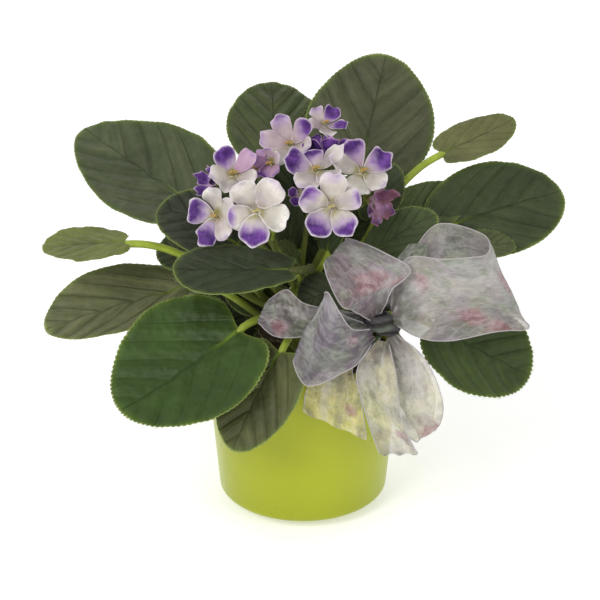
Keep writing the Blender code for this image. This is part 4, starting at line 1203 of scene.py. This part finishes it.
# %% Ribbon finish
def make_organza():
    """Sheer printed cloth: sage and rose blots, soft folds with painted shade and highlights, and light between
    its threads.
    """
    material, tree, shader = finish("organza", Sheen_Weight=0.12, Sheen_Roughness=0.3,
                                    Sheen_Tint=tint(236, 230, 236), Specular_IOR_Level=0.3)
    cloth, own = flat_spot(tree), piece_colour(tree)
    dense, near, cream, crest = (kept(tree, n) for n in ("dense", "near", "cream", "crest"))
    loose = rise(tree, dense, 0.42, 0.3)
    swirl = node(tree, "ShaderNodeTexNoise", {"Vector": cloth, "Scale": 11.0, "Detail": 2.0}).outputs[1]
    warped = vector(tree, "MULTIPLY_ADD", swirl, (0.09, 0.09, 0.09), cloth)
    smudge, cloud = noise(tree, warped, 5.0, 3.0, 0.6), noise(tree, warped, 4.6, 4.0, 0.6)
    # The print: fine sprigs inside green patches, sage blots, and roses where the piece keeps them.
    sprig = thin_lines(tree, noise(tree, cloth, 34.0, 3.0, 0.65), 0.05)
    patch = rise(tree, noise(tree, cloth, 6.5, 3.0), 0.46, 0.60)
    moved = vector(tree, "ADD", warped, (3.1, 1.7, 0.4))
    cell = node(tree, "ShaderNodeTexVoronoi", {"Vector": moved, "Scale": 11.0}).outputs
    chosen = times(tree, rise(tree, cell["Color"], 0.44, 0.50), loose)
    sage = times(tree, rise(tree, cell["Distance"], 0.46, 0.28), chosen)
    leafy = mix(tree, rise(tree, cell["Distance"], 0.26, 0.10), tint(132, 146, 112), tint(88, 112, 84))
    petals = noise(tree, warped, 24.0, 3.0, 0.6)
    rose = rise(tree, times_plus(tree, petals, 1.1, kept(tree, "rose")), 0.62, 1.3)
    blush = mix(tree, rise(tree, petals, 0.42, 0.62), tint(150, 66, 82), tint(178, 130, 134))
    # Folds: soft ridges drawn out along the cloth.
    bent = vector(tree, "MULTIPLY_ADD", swirl, (0.03, 0.03, 0.03), cloth)
    fold = noise(tree, vector(tree, "MULTIPLY", bent, (0.7, 1.5, 1.0)), 13.0, 5.0, 0.62)
    ridge = thin_lines(tree, fold, 0.09)
    # Over the print: soft darker and paler clouds, partly the print and partly painted shade and light; painted
    # highlights on ridges and crests; painted shade near the knot, in folds and between the pleats.
    colour = layered(
        tree, own,
        (times(tree, rise(tree, smudge, 0.35, 0.65, 0.0, 0.55), loose), tint(124, 104, 134)),
        (times(tree, rise(tree, cloud, 0.50, 0.66, 0.0, 0.5), loose), tint(214, 210, 208)),
        (times(tree, patch, times_plus(tree, cream, -0.22, 0.38)), tint(132, 152, 116)),
        (times(tree, times(tree, sprig, patch), 0.5), tint(84, 104, 74)),
        (times(tree, sage, times_plus(tree, cream, -0.35, 0.5)), leafy),
        (times(tree, rose, 0.75), blush),
        (times(tree, times(tree, ridge, loose), 0.2), tint(224, 220, 218)),
        (times(tree, near, 0.80), tint(46, 40, 42)),
        (rise(tree, fold, 0.47, 0.30, 0.0, 0.35), tint(72, 66, 66)),
        (rise(tree, crest, 0.1, 1.0, 0.0, 0.45), tint(228, 224, 224)),
        (rise(tree, crest, -0.1, -1.0, 0.0, 0.5), tint(82, 76, 84)))
    # Threads run both ways, and between them the cloth lets light through.
    thread = [node(tree, "ShaderNodeTexWave", {"Vector": cloth, "Scale": 85.0, "Distortion": 0.4},
                   bands_direction=way).outputs["Fac"] for way in ("X", "Y")]
    weave = maths(tree, "MAXIMUM", *thread)
    lit = times(tree, weave, rise(tree, near, 0.8, 0.1, 0.0, 0.12))
    painted(tree, shader, mix(tree, lit, colour, tint(222, 216, 222)),
            rise(tree, weave, 0.0, 1.0, 0.5, 0.34))
    cover = times_plus(tree, weave, 0.10, 0.60)
    cover = times_plus(tree, maths(tree, "MAXIMUM", sage, rose), 0.14, cover)
    cover = times_plus(tree, ridge, 0.10, cover)
    plug(tree, shader.inputs["Alpha"], maths(tree, "ADD", cover, dense, clamp=True))
    raised(tree, shader, times_plus(tree, fold, 1.0, times(tree, weave, 0.06)), 0.9, 0.0028)
    return material


def make_wired_edge():
    """Thread wound round the wire in a ribbon's edge."""
    material, tree, shader = finish("wired_edge", Sheen_Weight=0.3, Specular_IOR_Level=0.6)
    wound = node(tree, "ShaderNodeTexWave", {"Vector": flat_spot(tree), "Scale": 60.0,
                                             "Distortion": 0.5}, bands_direction="X").outputs["Fac"]
    painted(tree, shader, mix(tree, wound, tint(140, 130, 134), tint(212, 204, 204)),
            rise(tree, wound, 0.0, 1.0, 0.4, 0.28))
    raised(tree, shader, wound, 0.4, 0.0002)
    return material


def make_pick_paint():
    """Green paint on the wire that carries the bow."""
    material, tree, shader = finish("pick_paint", Specular_IOR_Level=0.5)
    blend = use(tree, mottle, Colour=tint(70, 92, 48), Place=spot(tree), Scale=180.0, Amount=0.3)
    painted(tree, shader, blend["Colour"], rise(tree, blend["Patches"], 0.3, 0.7, 0.35, 0.6))
    return material


organza, wired_edge, pick_paint = make_organza(), make_wired_edge(), make_pick_paint()

# %% Ribbon tables
# Each ribbon: its two edges from the knot outwards (a loop's edges run out and back again),
# and the number of pleats across it.
RIBBONS = {
    "loop_upper": (
        [(41, -56, 132), (47, -62, 151), (57, -58, 162), (44, -52, 169), (25, -38, 172),
         (24, -32, 167), (38, -42, 160), (47, -48, 152), (45, -50, 139)],
        [(38, -57, 131), (26, -66, 142), (20, -68, 146), (14, -64, 157), (11, -58, 165),
         (14, -50, 160), (21, -56, 148), (29, -56, 142), (38, -53, 138)], 1),
    "loop_right": (
        [(47, -56, 138), (49, -52, 153), (56, -53, 167), (72, -62, 170), (88, -60, 170), (98, -52, 169),
         (97, -44, 176), (79, -40, 181), (68, -38, 177), (57, -41, 160), (49, -48, 140)],
        [(49, -60, 131), (62, -66, 126), (79, -66, 124), (106, -60, 127), (118, -57, 126), (123, -52, 126),
         (115, -46, 129), (91, -46, 128), (76, -47, 128), (62, -48, 129), (53, -50, 131)], 1),
    "loop_left": (
        [(37, -62, 129), (26, -70, 133), (19, -72, 144), (13, -68, 153), (12, -62, 149),
         (20, -63, 139), (34, -58, 130)],
        [(38, -63, 122), (26, -70, 110), (3, -74, 101), (-5, -70, 113), (-2, -65, 116),
         (14, -65, 111), (35, -59, 124)], 1),
    "end_left": (
        [(35, -52, 132), (23, -50, 134), (1, -51, 139), (-9, -46, 145), (-20, -46, 138)],
        [(35, -53, 127), (23, -54, 127), (0, -54, 121), (-15, -54, 121), (-25, -50, 128)], 1),
    "tail_left": (
        [(38, -55, 125), (17, -59, 109), (3, -62, 95), (0, -63, 79)],
        [(40, -56, 122), (27, -61, 106), (31, -64, 91), (35, -65, 63)], 1),
    "tail_middle": (
        [(40, -61, 122), (29, -70, 109), (32, -72, 91), (37, -72, 72), (42, -71, 57)],
        [(46, -61, 121), (50, -69, 105), (53, -71, 80), (59, -72, 66), (63, -70, 57)], 2),
    "loop_lower": (
        [(49, -57, 125), (66, -62, 111), (76, -62, 86), (75, -62, 71), (72, -57, 72),
         (72, -54, 88), (63, -54, 108), (49, -53, 125)],
        [(45, -57, 122), (45, -62, 103), (47, -64, 78), (62, -63, 61), (63, -58, 64),
         (52, -57, 84), (48, -55, 103), (46, -53, 122)], 1),
}
# A short inner fold behind the knot, between the two upper loops; it has no solid of its own.
INNER_FOLD = {
    "fold_inner": (
        [(40, -50, 134), (44, -47, 148), (49, -44, 160), (57, -41, 170)],
        [(52, -53, 131), (60, -50, 142), (65, -46, 156), (68, -41, 170)], 1),
}
# Each piece's base colour: the print's tone, with the knot's near-black and the darker loops as painted shade,
# and the tails' yellow partly the pot's lime seen through them, painted in.
CLOTH_TONES_AND_SHADE = {"loop_upper": (134, 112, 114), "loop_right": (184, 176, 162), "loop_left": (106, 98, 102),
                 "end_left": (102, 88, 78), "tail_left": (248, 236, 146), "tail_middle": (240, 232, 190),
                 "loop_lower": (240, 234, 200), "fold_inner": (128, 134, 112), "knot": (36, 28, 32)}
KNOT, KNOT_SIZE, KNOT_TURN = np.array([43.0, -54.0, 129.0]), np.array([9.0, 7.0, 8.0]), math.radians(-20)
CLOTHS = {**RIBBONS, **INNER_FOLD}
CLOTH_COLUMNS = 44                  # points across each ribbon
PRINT_SHIFT = 0.77                  # from one ribbon to the next, so that no two show the same print
EDGE_WIRE, PICK_RADIUS = 0.27, 1.3


# %% Ribbon shapes
def ribbon_grid(name, rows, cols):
    """Points of a ribbon sheet: the line between its edges, waved by pleats and a gather at the knot."""
    edge_a, edge_b, pleats = CLOTHS[name]
    t, s = shares(rows, cols)
    a, b = through(edge_a, t), through(edge_b, t)
    run = sum(through(edge, t + 0.02) - through(edge, t - 0.02) for edge in (edge_a, edge_b))
    normal = unit(np.cross(b - a, run))
    loose = np.sin(np.pi * np.minimum(t, 1 - t))
    points = a + (b - a) * s[..., None]
    away = np.linalg.norm(points - KNOT, axis=-1)
    wave = 0.8 * np.sin(2 * np.pi * pleats * s) * loose
    gather = ease(7, 13, away) * np.exp(-np.maximum(away - 10, 0) / 16)
    wave = wave + 0.75 * gather * np.sin(2 * np.pi * (3.5 * s + 0.15 * np.sin(9 * t)))
    wave = wave + 0.6 * lumps(s * 40, t * 160, 13, len(name)) * ease(0.0, 0.15, loose)
    wave = wave + 0.55 * lumps(s * 40 + 9, t * 160 + 5, 5.5, 3 * len(name)) * ease(0.0, 0.15, loose)
    if "tail" in name or "end" in name:
        wave = wave + 1.1 * t**2 * np.sin(2 * np.pi * (2.6 * s + 0.4 * t))
    points = points + wave[..., None] * normal
    knot_skin = KNOT_SIZE + 0.35                    # no cloth runs deeper into the knot than this
    around = (points - KNOT) / knot_skin
    deep = np.linalg.norm(around, axis=-1, keepdims=True)
    points = np.where(deep < 1, KNOT + around / np.maximum(deep, 1e-6) * knot_skin, points)
    length = np.linalg.norm(np.diff(points.mean(1), axis=0), axis=1)
    width = np.linalg.norm(np.diff(points, axis=1), axis=-1).sum(1)
    run_at = np.append(0, np.cumsum(length))
    flat = np.stack([run_at[:, None] + 0 * s, (s - 0.5) * width[:, None]], -1) / PATTERN
    return points, flat, run_at[-1], width.mean(), gather, np.clip(wave / 1.5, -1, 1)


def sheet_area(points):
    """Area of a grid of points, from the two triangles of every cell."""
    p, q, r, s = points[:-1, :-1], points[:-1, 1:], points[1:, 1:], points[1:, :-1]
    crosses = np.stack([np.cross(q - p, r - p), np.cross(r - p, s - p)])
    return 0.5 * np.linalg.norm(crosses, axis=-1).sum()


# Printed roses: (share of the run, share of the width, their spread along and across).
ROSES = {
    "loop_upper": [(0.28, 0.5, 0.07, 0.26), (0.2, 0.2, 0.04, 0.14)],
    "loop_right": [(0.27, 0.78, 0.03, 0.12), (0.31, 0.95, 0.04, 0.1), (0.5, 0.42, 0.03, 0.16),
                   (0.2, 0.3, 0.025, 0.1)],
    "loop_left": [(0.15, 0.3, 0.04, 0.14)],
    "loop_lower": [(0.42, 0.4, 0.05, 0.4)],
    "end_left": [(0.74, 0.8, 0.1, 0.2)],
    "tail_left": [(0.82, 0.78, 0.05, 0.12)],
    "tail_middle": [(0.7, 0.82, 0.06, 0.15)],
}


def roses(name, rows, cols):
    """How much a rose covers each point of a ribbon: the tallest of its soft bells."""
    t, s = shares(rows, cols)
    bells = [np.exp(-((t - t0) / dt) ** 2 - ((s - s0) / ds) ** 2) for t0, s0, dt, ds in ROSES.get(name, [])]
    return np.max(bells or [0 * t], axis=0)


for number, (name, edges) in enumerate(CLOTHS.items()):
    rows, nodes = 30 + 12 * len(edges[0]), ["ribbon_" + name] if name in RIBBONS else []
    points, flat, length, width, gather, crest = ribbon_grid(name, rows, CLOTH_COLUMNS)
    # near is painted shade: the cloth darkens towards the knot.
    near = np.exp(-(np.linalg.norm(points - KNOT, axis=-1) / 21) ** 2)
    if name == "tail_middle":                       # its crumpled end gets painted shade as well
        near = np.maximum(near, 0.45 * ease(0.8, 1.0, np.linspace(0, 1, rows))[:, None])
    sheet = skin(points, flat + number * PRINT_SHIFT, wrap=False, ends=(False, False), dense=0.25 * gather,
                 near=near, rose=roses(name, rows, CLOTH_COLUMNS), crest=crest,
                 cream=1.0 * ("tail" in name or name == "loop_lower"))
    cloth = piece("ribbon_" + name + "_cloth", [sheet], [organza], nodes,
                  own=tint(*CLOTH_TONES_AND_SHADE[name]))
    wires = [stem(points[2:-2, column], EDGE_WIRE, 8) for column in (0, -1)]
    wires = [piece("ribbon_" + name + "_wires", wires, [wired_edge], nodes)] if nodes else []
    print(f"ribbon {name}: flat {width:.0f} x {length:.0f} mm, cloth {sheet_area(points):.0f} square mm")


# %% Knot and pick
def knot_wrap():
    """The band round the middle of the bow: a barrel pinched into deep creases.

    Returns its points, its flattened pattern and how deep in a crease each point lies.
    """
    u = np.linspace(-1, 1, 48)[:, None]
    turn = round_turn(96)[None, :]
    swell = np.sqrt(np.clip(1 - (0.85 * u) ** 2, 0, 1))
    crease = 1 - 0.24 * (0.5 + 0.5 * np.sin(5 * turn + 2.6 * u + 1.4 * np.sin(2.6 * u))) ** 2 \
        - 0.05 * (0.5 + 0.5 * np.sin(13 * turn - 3 * u))
    points = grid(0.97 * u + 0 * turn, swell * crease * np.cos(turn), swell * crease * np.sin(turn))
    flat = grid(u * 0.09, turn * 0.08)
    points = points * KNOT_SIZE * [1.12, 1.0, 0.86]
    c, s = math.cos(KNOT_TURN), math.sin(KNOT_TURN)
    points = points @ np.array([[c, 0, s], [0, 1, 0], [-s, 0, c]])
    return points + KNOT, flat, ease(0.98, 0.76, crease + 0 * u)


points, flat, deep_in = knot_wrap()
# The knot's deep creases get painted shade through near.
band = skin(points, flat, ends=(False, False), dense=0.45, near=0.3 + 0.7 * deep_in)
knot = piece("knot_wrap", [band], [organza], ["bow_knot"], own=tint(*CLOTH_TONES_AND_SHADE["knot"]))
print("knot cloth:", round(sheet_area(np.hstack([points, points[:, :1]]))), "square mm")

PICK = [(33, -32, 55), (33, -33, 75), (34, -34, 92), (36, -38, 103), (40, -46, 114), (41.6, -50.2, 119.7)]
pick_path = through(PICK, np.linspace(0, 1, 50))
piece("pick_wire", [stem(pick_path, PICK_RADIUS, 14)], [pick_paint], ["bow_pick"])

# %% [markdown]
# ## Floor, light and camera
# A studio table: one pale sheet that curves up behind, a large soft light from the upper
# left, a weaker one from the right to open the shadows, and light from all round. The camera
# looks a little down at the plant with a long lens, so the pot's sides stay nearly parallel.

# %% Studio
def make_paper():
    """Matt white paper that glows a little, so its far end stays pale."""
    material, tree, shader = finish("pale_paper", Specular_IOR_Level=0.1, Emission_Strength=0.40)
    grain = noise(tree, spot(tree), 40.0)
    plug(tree, shader.inputs["Base Color"], mix(tree, grain, tint(240, 240, 240), tint(246, 246, 246)))
    plug(tree, shader.inputs["Emission Color"], mix(tree, grain, tint(250, 250, 250), tint(255, 255, 255)))
    plug(tree, shader.inputs["Roughness"], rise(tree, grain, 0.0, 1.0, 0.85, 0.95))
    return material


floor_profile = np.array([(-3.0, 0.0), (0.7, 0.0), (1.1, 0.06), (1.4, 0.25), (1.55, 0.6), (1.6, 3.0)]) / MM
fine = through(np.column_stack([floor_profile, floor_profile[:, :1] * 0]), np.linspace(0, 1, 60))
sweep = grid(np.linspace(-3, 3, 3)[None, :] / MM, fine[:, :1], fine[:, 1:2])
mesh = bpy.data.meshes.new("paper_floor")
paper = skin(sweep, wrap=False, ends=(False, False))
mesh.from_pydata((paper["verts"] * MM - [0, 0, 0.0002]).tolist(), [], paper["quads"][:, ::-1].tolist())
mesh.materials.append(make_paper())
mesh.shade_smooth()
floor = linked("paper_floor", mesh)
floor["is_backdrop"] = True

world = bpy.data.worlds.new("studio")
bpy.context.scene.world = world
world.use_nodes = True
sky = world.node_tree.nodes["Background"].inputs
sky["Color"].default_value, sky["Strength"].default_value = (1.0, 1.0, 1.0, 1.0), 0.5


def aimed(name, data, place, ahead):
    """A light or camera at a place, turned so that it looks ahead."""
    obj = linked(name, data)
    obj.location = place
    obj.rotation_mode = "QUATERNION"
    obj.rotation_quaternion = ahead.to_track_quat("-Z", "Y")
    return obj


def softbox(name, place, size, power):
    """A square light of the given size and power that faces the plant."""
    light = bpy.data.lights.new(name, "AREA")
    light.shape, light.size, light.energy = "SQUARE", size, power
    aimed(name, light, place, Vector((0, 0, 0.12)) - Vector(place))


softbox("key_softbox", (-0.9, -1.1, 1.2), 0.9, 16)
softbox("fill_softbox", (1.3, -0.9, 0.8), 1.0, 5)

TILT, DISTANCE, AIM = math.radians(24.5), 1.150, Vector((-0.0017, 0.0, 0.118))
VIEW_WIDTH, SENSOR_WIDTH = 0.3402, 36           # metres seen at the plant, and millimetres in the camera
back = Vector((0.0, -math.cos(TILT), math.sin(TILT)))
camera = aimed("camera", bpy.data.cameras.new("camera"), AIM + back * DISTANCE, -back)
camera.data.lens = SENSOR_WIDTH * DISTANCE / VIEW_WIDTH
bpy.context.scene.camera = camera
bpy.context.scene.view_settings.view_transform = "Standard"
print("triangles in all:", sum(made.values()), "in", len(made), "pieces")

# %% [markdown]
# ## Check the size and finish
# The skins must fill the same space as the solids, so how far their box has grown past the solids' box is
# printed.

# %% Sizes
bpy.context.view_layer.update()
new_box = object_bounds()
grown = [round((n - c) / MM, 1) for old, new in zip(cad_box, new_box) for c, n in zip(old, new)]
print("grown by (mm):", grown)
